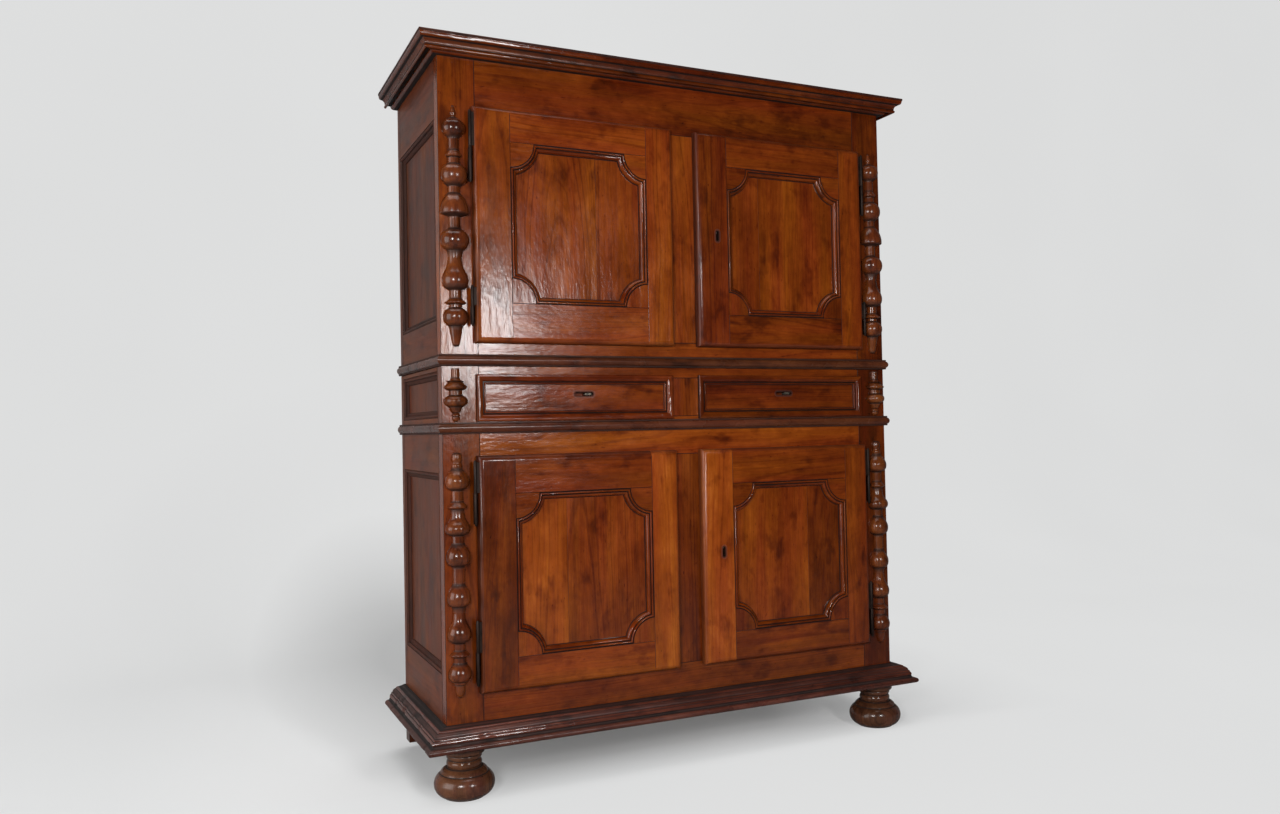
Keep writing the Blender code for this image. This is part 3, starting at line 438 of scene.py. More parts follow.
def bare_board(name, stops, upright=False):
    """Unpolished softwood for the insides, with its grain along x or up z."""
    s = Shader(name)
    place = s.place()
    turn = slice(None, None, -1 if upright else 1)
    streak = s.noise(place, (1.4, 30, 60)[turn], 5, 0.6)
    patch = s.noise(place, (3, 4, 4)[turn])
    fibre = s.noise(place, (12, 420, 420)[turn], 2)
    value = s.math("ADD", s.math("MULTIPLY", streak, 0.6), s.math("MULTIPLY", patch, 0.35))
    value = s.math("ADD", value, s.math("MULTIPLY", fibre, 0.08), clamp=True)
    s.set(Base_Color=s.ramp(value, stops), Roughness=s.spread(patch, *USUAL, 0.55, 0.75))
    s.set(Normal=s.bump(s.math("ADD", streak, fibre), 0.25, 0.0008))
    return s.material


def metal(name, stops, roughness):
    """Old iron with a mottled dark skin."""
    s = Shader(name)
    place = s.place()
    blotch = s.noise(place, (90, 90, 60), 4, 0.6)
    grit = s.noise(place, (700, 700, 700), 2)
    s.set(Base_Color=s.ramp(blotch, stops), Metallic=0.75)
    s.set(Roughness=s.spread(blotch, *USUAL, roughness - 0.1, roughness + 0.15))
    s.set(Normal=s.bump(s.math("ADD", blotch, grit), 0.3, 0.0005))
    return s.material


def stops(*colours, at=(0, 0.3, 0.5, 0.75, 1)):
    """Colours of a ramp from dark to light, in thousandths, each at its place."""
    return [(place, [part / 1000 for part in colour]) for place, colour in zip(at, colours)]


WALNUT_AT = (0, 0.28, 0.5, 0.72, 1)
RED_WALNUT = stops((16, 2.2, 0.6), (64, 8, 1.3), (130, 19.2, 2.4), (225, 39.5, 4.8), (390, 95, 14),
                   at=WALNUT_AT)
GOLD_WALNUT = stops((17, 3.2, 0.5), (68, 12, 1), (138, 27.8, 1.8), (240, 56.5, 3.6), (410, 128, 11),
                    at=WALNUT_AT)
RED_DARK = stops((8, 2.2, 1.4), (28, 6.6, 3.4), (54, 12.5, 6), (98, 25, 11), (180, 60, 26))
GOLD_DARK = stops((8, 2.6, 1.2), (29, 7.8, 2.8), (56, 15, 5), (100, 30, 9), (185, 70, 22))
RED_TURNED = stops((12, 2.4, 1.1), (42, 7.8, 2.6), (82, 15.8, 4.8), (140, 31, 8.5), (240, 66, 18))
GOLD_TURNED = stops((12, 2.9, 0.9), (43, 10, 2.2), (86, 20.5, 4), (146, 40, 7.5), (250, 80, 16))
RED_WORN = stops((12, 3.8, 2.8), (40, 12, 8.5), (76, 21.5, 14.5), (125, 38, 24), (200, 72, 48))
OLIVE_WORN = stops((12, 4.5, 2.2), (42, 15.2, 7), (80, 30, 13.5), (132, 52, 24), (210, 92, 47))
PLAIN_STOPS = stops((85, 42, 18), (178, 94, 42), (280, 162, 78), at=(0.2, 0.5, 0.8))
IRON_STOPS = stops((8, 4.2, 3), (26, 13, 8.5), at=USUAL)
STEEL_STOPS = stops((30, 25, 20), (150, 125, 95), at=USUAL)

WALNUT = wood("walnut_polish", RED_WALNUT, GOLD_WALNUT, shade_and_grime_colour=(0.006, 0.0014, 0.0005),
              roughness=0.17, coat=0.06, specular=0.24, crackle=0.0005)
SIDE_WALNUT = wood("side_walnut_polish", RED_TURNED, GOLD_TURNED, shade_and_grime_colour=(0.007, 0.0024, 0.0012),
                   roughness=0.4, coat=0, specular=0.22)
DARK = wood("dark_walnut_polish", RED_DARK, GOLD_DARK, shade_and_grime_colour=(0.005, 0.0018, 0.0011),
            roughness=0.24, coat=0.04, specular=0.22)
WORN = wood("worn_walnut_polish", RED_WORN, RED_DARK, shade_and_grime_colour=(0.006, 0.0024, 0.0016),
            roughness=0.2, coat=0.06, specular=0.32, contrast=1.4)
TURNED = wood("turned_walnut_polish", RED_TURNED, GOLD_TURNED, shade_and_grime_colour=(0.006, 0.0017, 0.0007),
              roughness=0.18, coat=0.08, specular=0.26, crackle=0.00006, contrast=1.4)
FOOT = wood("foot_walnut_polish", RED_WORN, OLIVE_WORN, shade_and_grime_colour=(0.006, 0.0022, 0.0012),
            roughness=0.2, coat=0.06, specular=0.3, crackle=0.00006, contrast=1.4)
PLAIN = bare_board("plain_board", PLAIN_STOPS)
UPRIGHT = bare_board("plain_upright_board", PLAIN_STOPS, upright=True)
IRON = metal("old_iron", IRON_STOPS, roughness=0.5)
STEEL = metal("worn_iron", STEEL_STOPS, roughness=0.42)

# Mouldings round the front and both sides: steps on each leg, how far wear may leave a point proud, and how
# it changes the dirt
LEG_STEPS = (70, 160, 50)
MOST_PROUD = 0.0006
WEAR_DIRT = 0.25
WORST_DIRT = 0.6
RUN_MIDDLE = 0.02


def u_point(leg, share, p, z):
    """A place on the left leg, the front or the right leg at one overhang."""
    half, edge = HALF + p, FRONT - p
    if leg == 0:
        return (-half, BACK + (edge - BACK) * share, z)
    if leg == 1:
        return (-half + 2 * half * share, edge, z)
    return (half, edge + (BACK - edge) * share, z)


def worn(point, amount):
    """How far the hand and the broom have moved this place: a slow and a quick ripple, and dents."""
    slow = noise.noise(Vector(point) * 9)
    quick = noise.noise(Vector(point) * 46 + Vector((7, 3, 1)))
    dent = max(0, noise.noise(Vector(point) * 27 + Vector((2, 9, 4))) - 0.3)
    return amount * (0.3 * slow + 0.22 * quick - 2.2 * dent)


def u_moulding(name, section, wear, seed, lights, replaced, stuff, core=None, worst=1):
    """Sweep a section of (overhang, height, grime and painted shade) round the carcass with mitred corners.

    The left leg is worn by the factor worst. The core is the height of a board that fills the middle.
    """
    bm = start()
    layer = bm.verts.layers.float["dirt"]
    rings, legs = [], []
    for leg, count in enumerate(LEG_STEPS):
        harder = worst if leg == 0 else 1
        for k in range(1 if leg else 0, count + 1):
            ring = []
            for p, z, dirt in section:
                rough = 0
                if p > 2 * GAP:
                    rough = worn(u_point(leg, k / count, p, z), wear) * harder
                vert = bm.verts.new(u_point(leg, k / count, p + min(MOST_PROUD, rough), z))
                vert[layer] = dirt - WEAR_DIRT * rough / wear + WORST_DIRT * (harder - 1)
                ring.append(vert)
            rings.append(ring)
            legs.append(leg)
    boards = []
    for leg, along in enumerate("yxy"):
        centre = u_point(leg, 0.5, RUN_MIDDLE, section[0][1])
        boards.append(Board(centre, along, seed + leg, lights[leg], RUN_FIGURE))
    for low, high, leg in zip(rings, rings[1:], legs[1:]):
        stamp(bm, band_between(bm, low, high), boards[leg])
    stamp(bm, [bm.faces.new(rings[0][::-1])], boards[0])
    stamp(bm, [bm.faces.new(rings[-1])], boards[2])
    if core:
        plank(bm, (GAP - HALF, FRONT + GAP, core[0]), (HALF - GAP, BACK, core[1]), "x", seed + 5, eased=0)
    finish_piece(name, bm, replaced, stuff, SHARP_RUN)


def run_size(node):
    """Largest overhang, underside and top of a moulding that runs round the carcass."""
    low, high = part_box(node)
    return -low.x - HALF, low.z, high.z


def base_section():
    """Torus, hollow, two beads, ovolo and a bead on the shoulder that slopes up to the carcass."""
    deep, z, top = run_size("base_moulding")
    # Third values paint shade and grime: black in the quirks, dark underneath, in the hollow and where the
    # shoulder meets the carcass
    return [
        (GAP, z, 0.6), *arc(deep - 0.0085, z + 0.0085, 0.0085, 0.0085, -90, 80, 12, 0.1),
        (deep - 0.0128, z + 0.018, 1), (0.0518, z + 0.021, 0.7), (0.05, z + 0.0245, 1),
        *arc(0.0365, z + 0.0254, 0.015, 0.015, 4, 34, 8, POLISHED),
        (0.047, z + 0.0347, 1), (0.0462, z + 0.0352, 1),
        *arc(0.0375, z + 0.0342, 0.009, 0.009, 10, 38, 7, POLISHED),
        (0.0428, z + 0.0405, 1), (0.0418, z + 0.0408, 1),
        *arc(0.0285, z + 0.0408, 0.0132, 0.011, 4, 62, 9, 0.25),
        (0.0335, z + 0.0514, 1), (0.0325, z + 0.0516, 1),
        *arc(0.024, z + 0.0478, 0.0085, 0.0085, 26, 72, 8, POLISHED), (0.0215, top - 0.0052, 1),
        (0.012, top - 0.0026, 0.5), (0.004, top, 0.9), (GAP, top, 0.9),
    ]


def waist_section(node):
    """Nosing between two narrow fillets."""
    deep, z, top = run_size(node)
    # Third values paint shade and grime: dark underneath and in the fillets, less on top
    return [
        (GAP, z, 0.7), (deep - 0.006, z, 0.5), (deep - 0.0055, z + 0.004, 0.8),
        *arc(deep - 0.0095, (z + top) / 2, 0.0095, (top - z) / 2 - 0.0045, -70, 70, 12),
        (deep - 0.0055, top - 0.004, 0.8), (deep - 0.006, top, 0.3), (GAP, top, 0.5),
    ]


def cornice_section():
    """Bead under the soffit, lip, hollow band, sloping round and a square top fillet."""
    deep, z, top = run_size("cornice")
    # Third values paint shade and grime: black on the soffit by the frieze, in the quirks and under the top fillet
    return [
        (GAP, z, 1), (0.0115, z + 0.0004, 1),
        *arc(0.0105, z + 0.0102, 0.012, 0.01, -62, -4, 12, POLISHED),
        (0.0222, z + 0.0108, 1), (0.033, z + 0.0112, 1),
        *arc(deep - 0.0225, z + 0.0072, 0.0042, 0.005, 205, 420, 12, POLISHED),
        (deep - 0.0215, z + 0.0128, 1), (deep - 0.0208, z + 0.014, 0.9),
        *arc(deep - 0.007, z + 0.015, 0.0136, 0.013, 178, 122, 9, 0.1),
        (deep - 0.013, z + 0.0274, 1), (deep - 0.0085, z + 0.0282, 1),
        *arc(0.0321, top - 0.0052, 0.028, 0.028, -26, -4, 10, POLISHED),
        (deep - 0.001, top - 0.0066, 1), (deep, top - 0.006, 0.7), (deep, top, 0.5), (GAP, top, 0),
    ]


# Turned work: percent of each shape's length from its top, and of its swelling from neck to largest radius
SHAPES = {
    "neck": ((4, 60), (16, 0), (84, 0), (96, 60)),
    "stem": ((0, 5), (2, 45), (10, 85), (40, 95), (60, 80), (75, 100), (95, 95)),
    "bullet": ((2, 100), (30, 100), (55, 93), (80, 62), (94, 30), (100, 5)),
    "blunt": ((0, 100), (50, 72), (85, 50), (96, 35), (100, 5)),
    "finial": ((0, 5), (6, 18), (30, 35), (55, 62), (75, 50), (92, 70)),
    "flare": ((10, 5), (60, 30), (98, 100)),
    "round": ((2, 14), (12, 55), (28, 88), (48, 100), (68, 92), (84, 66), (97, 20)),
    "dome": ((3, 10), (14, 38), (30, 74), (48, 96), (63, 100), (80, 90), (93, 60), (98, 20)),
    "bell": ((3, 12), (18, 46), (38, 77), (60, 95), (80, 100), (92, 92), (97, 35)),
    "pear": ((15, 2), (35, 16), (48, 45), (60, 82), (73, 100), (86, 92), (95, 60), (98.5, 18)),
    "ring": ((10, 10), (38, 60), (58, 97), (74, 97), (90, 55), (98, 10)),
}

# Shape, length, largest radius and neck radius, in millimetres from the top down
UPPER_TURNING = (
    ("finial", 38, 13, 2), ("round", 53, 33.5, 14), ("neck", 37, 16, 15.5), ("ring", 19, 23, 16),
    ("neck", 18, 18, 17.5), ("round", 62, 37.5, 18), ("neck", 21, 18, 17.5), ("bell", 63, 40, 18),
    ("neck", 36, 18, 17), ("round", 62, 40.5, 18), ("pear", 107, 37, 19), ("neck", 25, 18, 17.5),
    ("ring", 16, 30, 18), ("neck", 9, 19, 18.3), ("round", 51, 35, 19), ("blunt", 56, 19.5, 2),
)
LOWER_TURNING = (
    ("stem", 46, 14.5, 2), ("dome", 57, 32.5, 15), ("neck", 33, 16, 15.5), ("ring", 20, 26, 17),
    ("pear", 72, 34.5, 18), ("neck", 23, 17, 16.5), ("dome", 62, 33, 16), ("neck", 51, 17, 16.7),
    ("dome", 61, 31.7, 16), ("pear", 99, 31.7, 15.5), ("neck", 20, 16, 15.5), ("ring", 18, 26.6, 16),
    ("neck", 16, 18, 17.5), ("dome", 52, 31, 17), ("neck", 6, 20, 19), ("bullet", 39, 14, 2),
)
SHORT_TURNING = (
    ("neck", 29, 12, 11.7), ("flare", 9, 25, 12), ("ring", 25, 32.2, 19), ("neck", 14.5, 19, 18.5),
    ("round", 33, 33.5, 18), ("blunt", 17, 19, 6), ("ring", 10.5, 11.8, 9.5), ("bullet", 14.5, 11, 2),
)
LEAST_SWELL = 0.02
# Painted shade in the creases where one turned shape meets the next: how fast it fades, and how dark it is there
CREASE_SLOPE = 6
CREASE_PAINTED_SHADE = 0.9
SHAPE_STEPS = 4
TURNING_STEPS = 24
FOOT_STEPS = 48
BARREL_STEPS = 20


def eased_run(points, steps):
    """A smooth run through the points, without moving its ends."""
    run = []
    last = len(points) - 1
    for k in range(last):
        a, b = Vector(points[k]), Vector(points[k + 1])
        lean_a = (b - Vector(points[max(0, k - 1)])) / (2 if k else 1)
        lean_b = (Vector(points[min(last, k + 2)]) - a) / (2 if k + 2 <= last else 1)
        for step in range(steps):
            t = step / steps
            cubic = (2 * t ** 3 - 3 * t * t + 1) * a + (t ** 3 - 2 * t * t + t) * lean_a
            run.append(cubic + (3 * t * t - 2 * t ** 3) * b + (t ** 3 - t * t) * lean_b)
    run.append(Vector(points[-1]))
    return run


def turned_profile(elements, z0, z1, radius):
    """Radius, height, and painted shade in the creases, from the top down."""
    total = sum(row[1] for row in elements)
    widest = max(row[2] for row in elements)
    profile = []
    drop = 0
    for kind, length, largest, neck in elements:
        shape = [(along / 100, swelling / 100) for along, swelling in SHAPES[kind]]
        for along, swelling in eased_run(shape, SHAPE_STEPS):
            z = z1 - (z1 - z0) * (drop + along * length) / total
            r = radius * (neck + (largest - neck) * max(LEAST_SWELL, swelling)) / widest
            crease = max(0, 1 - CREASE_SLOPE * min(along, 1 - along))
            profile.append((min(r, radius), z, CREASE_PAINTED_SHADE * crease))
        drop += length
    return profile


def revolve(bm, x, y, profile, board, steps, half=False):
    """Turn a profile of radius, height, and grime and painted shade; a half turn bulges to the front and gets a
    flat back.
    """
    first, count = (180, steps + 1) if half else (0, steps)
    loops = [arc(x, y, r, r, first, 360, steps, z)[:count] for r, z, dirt in profile]
    stamp(bm, sum(loft(bm, loops, True, [row[2] for row in profile]), []), board)


def split_turning(node, elements, seed, light, fuller=1):
    """Half of a turned baluster, glued on with its flat back to the stile."""
    low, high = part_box(node)
    x = (low.x + high.x) / 2
    light += random.Random(seed).uniform(-TURNED_SPREAD, TURNED_SPREAD)
    board = Board((x, FRONT, (low.z + high.z) / 2), "z", seed, light, TURNED_FIGURE)
    profile = turned_profile(elements, low.z, high.z, fuller * (high.x - low.x) / 2)
    bm = start()
    revolve(bm, x, FRONT - GAP, profile, board, TURNING_STEPS, half=True)
    finish_piece("turned_" + node, bm, [node], TURNED, SHARP_TURNED)


def bun_foot(node, seed):
    """Bun with a grooved shoulder, two rings on the neck and a collar under the base."""
    low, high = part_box(node)
    x, y = (low.x + high.x) / 2, (low.y + high.y) / 2
    radius = (high.x - low.x) / 2
    core = FOOT_SOLE - 0.01
    shoulder = eased_run([(0.0662, 0.0672), (0.062, 0.073), (0.054, 0.079)], 5)
    upper_ring = eased_run([(0.0462, 0.1036), (0.049, 0.1085), (0.0492, 0.114)], 4)
    # Third values paint shade and grime: dark where the bun stands on the floor and meets the base, black in the
    # grooves
    profile = [
        (FOOT_SOLE, 0, 0.8), *arc(core, 0.0355, radius - core, 0.035, -72, 54, 24),
        (0.0672, 0.0648, 1), (0.0665, 0.0662, 1), *((r, z, 0) for r, z in shoulder),
        (0.05, 0.0802, 1), (0.0485, 0.0815, 1),
        *arc(0.044, 0.0915, 0.005, 0.009, -70, 70, 10, POLISHED),
        (0.0452, 0.1012, 1), (0.045, 0.1028, 1), *((r, z, 0) for r, z in upper_ring),
        (0.0482, 0.1155, 1), (0.05, 0.1168, 1),
        *arc(0.0515, 0.1235, 0.006, 0.006, -80, 20, 8), (0.0575, BASE_LOW, 0.6),
    ]
    bm = start()
    board = Board((x, y, FOOT_MIDDLE), "z", seed, BUN_FOOT_LIGHT, TURNED_FIGURE)
    revolve(bm, x, y, profile, board, FOOT_STEPS)
    finish_piece("turned_" + node, bm, [node], FOOT, SHARP_TURNED)


def rear_foot(node, side, seed):
    """Square block on a narrower pad, with the part that runs up inside the corner."""
    low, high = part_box(node)
    inner, outer = sorted((abs(low.x), abs(high.x)))
    inside_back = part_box("lower_back")[0].y - GAP
    lengths = ((low.z, PAD_HEIGHT, outer - PAD_INSET, high.y),
               (PAD_HEIGHT, BASE_LOW, outer, high.y),
               (BASE_LOW, high.z, outer - SIDE_THICKNESS - GAP, inside_back))
    bm = start()
    for z0, z1, reach, rear in lengths:
        x0, x1 = sorted((side * inner, side * reach))
        plank(bm, (x0, low.y, z0), (x1, rear, z1), "z", seed, REAR_FOOT_LIGHT)
    finish_piece(node + "_block", bm, [node], DARK, SHARP_DOOR)


# Carcass boards
def face_frame(name, levels, seed, stiles, rails, posts):
    """Stiles at both sides, and between them rails and posts from the bottom up, with their lightness."""
    low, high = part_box(name)
    y0, y1 = low.y, high.y
    bm = start()
    for k, (x0, x1) in enumerate(((low.x, -STILE_INSIDE), (STILE_INSIDE, high.x))):
        plank(bm, (x0, y0, low.z), (x1, y1, high.z), "z", seed + k, stiles[k])
    levels = (low.z, *levels, high.z)
    for k, (z0, z1) in enumerate(zip(levels, levels[1:])):
        if k % 2:
            plank(bm, (-POST_HALF, y0, z0), (POST_HALF, y1, z1), "z", seed + 40 + k, posts[k // 2])
        else:
            plank(bm, (-STILE_INSIDE, y0, z0), (STILE_INSIDE, y1, z1), "x", seed + 20 + k, rails[k // 2])
    finish_piece(name + "_boards", bm, [name], WALNUT, SHARP_BOARD)


def side_frame(node, side, panels, seed, light):
    """Frame, sunk panels and their mouldings on one side."""
    low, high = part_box(node)
    outside = side * HALF
    inside = outside - side * SIDE_THICKNESS
    x0, x1 = sorted((outside, inside))
    rear = BACK - SIDE_STILE
    near = low.y + SIDE_STRIP
    bm = start()
    plank(bm, (x0, low.y, low.z), (x1, near, high.z), "z", seed, light, eased=SIDE_EDGE)
    plank(bm, (x0, rear, low.z), (x1, high.y, high.z), "z", seed + 1, light)
    levels = [low.z] + [z for span in panels for z in span] + [high.z]
    for k in range(0, len(levels), 2):
        z0, z1 = levels[k:k + 2]
        plank(bm, (x0, near, z0), (x1, rear, z1), "y", seed + 2 + k, light + SIDE_RAIL_LIGHT)
    x0, x1 = sorted((outside - side * SIDE_SUNK, inside))
    for k, (z0, z1) in enumerate(panels):
        plank(bm, (x0, near, z0), (x1, rear, z1), "z", seed + 20 + k, light + SIDE_PANEL_LIGHT, eased=0)
        side_moulding(bm, outside, side, near, rear, z0, z1, seed + 40 + k, light)
    finish_piece(node + "_boards", bm, [node], SIDE_WALNUT, SHARP_BOARD)


def side_moulding(bm, outside, side, y0, y1, z0, z1, seed, light):
    """Mitred moulding that slopes from the frame down to the sunk panel: inset, depth, and grime and painted
    shade.
    """
    wide, deep = SIDE_MOULDING, SIDE_SUNK
    # Third values paint shade and grime: dark where the frame's edge drops to the moulding, in the quirk and
    # against the sunk panel
    section = [
        (-0.0006, deep + 0.001, 0), (-0.0006, 0.0015, 0.8), (0.0008, 0.0006, 0.1),
        *arc(0.005, 0.0035, 0.0042, 0.0035, -150, -20, 6, 0.2), (0.0096, 0.0052, 0.9),
        *arc(0.0098, deep - 0.001, wide - 0.0105, deep - 0.0075, -88, -8, 8, 0.45),
        (wide, deep - 0.0004, 0.9), (wide, deep + 0.001, 0.9),
    ]
    loops = []
    for inset, sunk, dirt in section:
        loop = rectangle(y0 + inset, y1 - inset, z0 + inset, z1 - inset, outside - side * sunk)
        loops.append([(x, y, z) for y, x, z in loop])
    bands = loft(bm, loops, False, [row[2] for row in section])
    bands.append([bm.faces.new((a.verts[1], a.verts[0], b.verts[3], b.verts[2]))
                  for a, b in zip(bands[0], bands[-1])])
    centre = (outside, (y0 + y1) / 2, (z0 + z1) / 2)
    stamp_mitred(bm, bands, centre, "zyzy", seed, light + RIM_LIGHT, RIM_FIGURE)


# Doors, drawers and hinges
def corners(hole):
    """Corners of an opening, each with the signs that point into it."""
    x0, x1, z0, z1 = hole
    return ((x0, z0, 1, 1), (x1, z0, -1, 1), (x1, z1, -1, -1), (x0, z1, 1, -1))


def scooped(hole, inset, y):
    """Outline, at one inset, of an opening whose four corners are scooped by quarter circles."""
    radius = SCOOP_RADIUS + inset
    first = asin(inset / radius)
    turns = [first + (pi / 2 - 2 * first) * k / SCOOP_STEPS for k in range(SCOOP_STEPS + 1)]
    loop = []
    for k, (cx, cz, sx, sz) in enumerate(corners(hole)):
        for t in turns if k % 2 else turns[::-1]:
            loop.append((cx + sx * radius * cos(t), y, cz + sz * radius * sin(t)))
    return loop


def door_section():
    """Inset, height, and grime and painted shade: groove, bead, quirk, ovolo and the line against the panel, with
    the groove, the quirk and the line painted black.
    """
    wide, deep = DOOR_MOULDING, PANEL_DEPTH
    return [
        (0, 0, 0.7), (0.0003, -0.002, 1), (0.003, -0.002, 1),
        *arc(0.0056, -0.001, 0.0024, 0.0034, 175, 5, 8, POLISHED),
        (0.0082, -0.0046, 1), (0.0112, -0.0046, 1),
        *arc(0.0116, 0.0032 - deep, wide - 0.0138, deep - 0.0054, 90, 6, 12, POLISHED),
        (wide - 0.0018, 0.0028 - deep, 0.9), (wide - 0.0014, 0.0006 - deep, 1), (wide, -deep, 1),
    ]


def keyhole_outline(centre, size, upright, y, steps=8):
    """A slot with round ends."""
    long, wide = size
    ends = ((-90, (long - wide) / 2), (90, (wide - long) / 2))
    loop = sum((arc(shift, 0, wide / 2, wide / 2, first, first + 180, steps) for first, shift in ends), [])
    turn = -1 if upright else 1
    return [(centre[0] + a, y, centre[1] + b) for a, b in (point[:2][::turn] for point in loop)]


def plate_with_slot(bm, outline, centre, size, upright, depth, board):
    """A flat face in the front plane with a slot sunk into it, a smudge round the slot and painted shade on the
    slot's walls.
    """
    front = outline[0][1]
    ring = ring_of(bm, outline)
    loops = []
    for far, dirt in SMUDGE_RINGS:
        grown = [side + 2 * SMUDGE * far for side in size]
        loops.append(keyhole_outline(centre, grown, upright, front))
    loops.append([(x, y + depth, z) for x, y, z in loops[-1]])
    bands = loft(bm, loops, False, [dirt for far, dirt in SMUDGE_RINGS] + [SLOT_PAINTED_SHADE])
    mouth = [bm.edges.get(face.verts[:2]) for face in bands[0]]
    edges = [bm.edges.new((ring[i - 1], ring[i])) for i in range(len(ring))]
    filled = bmesh.ops.triangle_fill(bm, use_beauty=True, edges=edges + mouth)["geom"]
    stamp(bm, [item for item in filled if isinstance(item, bmesh.types.BMFace)], board, 0)
    stamp(bm, sum(bands, []), board)


def door(level, label, lights, seed):
    """Frame of two stiles and two rails, with its scooped moulding."""
    node = f"door_{level}_{label}"
    low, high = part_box(node + "_frame")
    pane_low, pane_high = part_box(node + "_panel")
    x0, x1, z0, z1 = low.x, high.x, low.z, high.z
    left, right = pane_low.x + PANEL_LAP, pane_high.x - PANEL_LAP
    bottom, top = pane_low.z + PANEL_LAP, pane_high.z - PANEL_LAP
    hole = (left, right, bottom, top)
    x, z = (x0 + x1) / 2, (z0 + z1) / 2
    members = (((x0, left, z0, z1), "lbt", "z", x0 + MEMBER_MIDDLE, z),
               ((right, x1, z0, z1), "rbt", "z", x1 - MEMBER_MIDDLE, z),
               ((left, right, top, z1), "t", "x", x, z1 - MEMBER_MIDDLE),
               ((left, right, z0, bottom), "b", "x", x, z0 + MEMBER_MIDDLE))
    bm = start()
    for k, (span, rounded, along, board_x, board_z) in enumerate(members):
        lock = None
        if label == "right" and k == 0:
            lock = (x0 + DOOR_KEYHOLE_INSET, z + DOOR_KEYHOLE_RISE)
        member(bm, span, rounded, Board((board_x, DOOR_FACE, board_z), along, seed + k, lights[k]), lock)
    corner_blocks(bm, hole, lights, seed + 4)
    beads = [Board((x, DOOR_FACE, z), along, seed + 8 + k, BEAD_SHARE * lights[k] + BEAD_LIGHT, BEAD_FIGURE)
             for k, along in enumerate("zzxx")]
    door_moulding(bm, hole, beads)
    finish_piece(node + "_boards", bm, [node + "_frame"], WALNUT, SHARP_DOOR, node)


def member(bm, span, rounded, board, lock=None):
    """Stile or rail: round on the edges named in rounded (l, r, b, t), a fine joint on the others."""
    x0, x1, z0, z1 = span
    loops = [rectangle(x0, x1, z0, z1, DOOR_BACK)]
    # Painted shade on the door's edges: full on its sides and back, fading over the rounding to none on the face
    dirt = [EDGE_PAINTED_SHADE]
    for k in range(EDGE_STEPS + 1):
        turn = pi / 2 * k / EDGE_STEPS
        inset, rise = EDGE_ROUND * (1 - cos(turn)), EDGE_ROUND * sin(turn)
        joint = JOINT if k == EDGE_STEPS else 0
        left, right, bottom, top = (inset if letter in rounded else joint for letter in "lrbt")
        y = DOOR_FACE + EDGE_ROUND - rise
        loops.append(rectangle(x0 + left, x1 - right, z0 + bottom, z1 - top, y))
        dirt.append(EDGE_PAINTED_SHADE * (1 - k / EDGE_STEPS))
    bands = loft(bm, loops, lock is None, dirt)
    stamp(bm, sum(bands, []), board)
    rim = bands[EDGE_STEPS]
    stamp(bm, [face for face, letter in zip(rim, "lbrt") if letter not in rounded], board, JOINT_DIRT)
    if lock:
        stamp(bm, [bm.faces.new(ring_of(bm, loops[0])[::-1])], board)
        plate_with_slot(bm, loops[-1], lock, DOOR_KEYHOLE, True, DOOR_KEYHOLE_DEPTH, board)


def corner_blocks(bm, hole, lights, seed):
    """Quarter rounds glued into the corners of the opening."""
    quarter = [(0, 0, 0), *arc(0, 0, SCOOP_RADIUS, SCOOP_RADIUS, 0, 90, SCOOP_STEPS)]
    for k, (cx, cz, sx, sz) in enumerate(corners(hole)):
        ring = [(cx + sx * max(JOINT, a), cz + sz * max(JOINT, b)) for a, b, third in quarter]
        loops = [[(x, y, z) for x, z in ring] for y in (DOOR_FACE + PANEL_DEPTH, DOOR_FACE)]
        faces = sum(loft(bm, loops), [])
        for face in faces:
            face.smooth = False
        along, light = ("z", lights[3]) if sz > 0 else ("x", lights[2])
        stamp(bm, faces, Board((cx, DOOR_FACE, cz), along, seed + k, light + CORNER_LIGHT, CORNER_FIGURE))


def door_moulding(bm, hole, boards):
    """Bead and ovolo carried round the scooped opening, in four lengths: left, right, top and bottom."""
    section = door_section()
    loops = [scooped(hole, inset, DOOR_FACE - lift) for inset, lift, dirt in section]
    loops.append(scooped(hole, 0, DOOR_FACE + PANEL_DEPTH))
    # The wall down to the back of the panel is painted black: painted shade and grime
    bands = loft(bm, loops, False, [row[2] for row in section] + [1])
    x0, x1, z0, z1 = hole
    x, z = (x0 + x1) / 2, (z0 + z1) / 2
    for face in sum(bands, []):
        spot = face.calc_center_median()
        if abs(spot.x - x) / (x1 - x0) > abs(spot.z - z) / (z1 - z0):
            board = boards[0] if spot.x < x else boards[1]
        else:
            board = boards[2] if spot.z > z else boards[3]
        stamp(bm, [face], board)


def panel(level, label, boards, seed):
    """Sunk panel glued up from upright boards: share of the width, lightness, figure and pith."""
    node = f"door_{level}_{label}_panel"
    low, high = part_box(node)
    bm = start()
    x = low.x
    for k, (share, light, figure, *pith) in enumerate(boards):
        far = x + share * (high.x - low.x)
        plank(bm, (x, low.y, low.z), (far, high.y - PANEL_SHY, high.z), "z", seed + k, light, figure,
              FINE_EDGE, *pith)
        x = far
    finish_piece(node + "_boards", bm, [node], WALNUT, SHARP_BOARD, f"door_{level}_{label}")


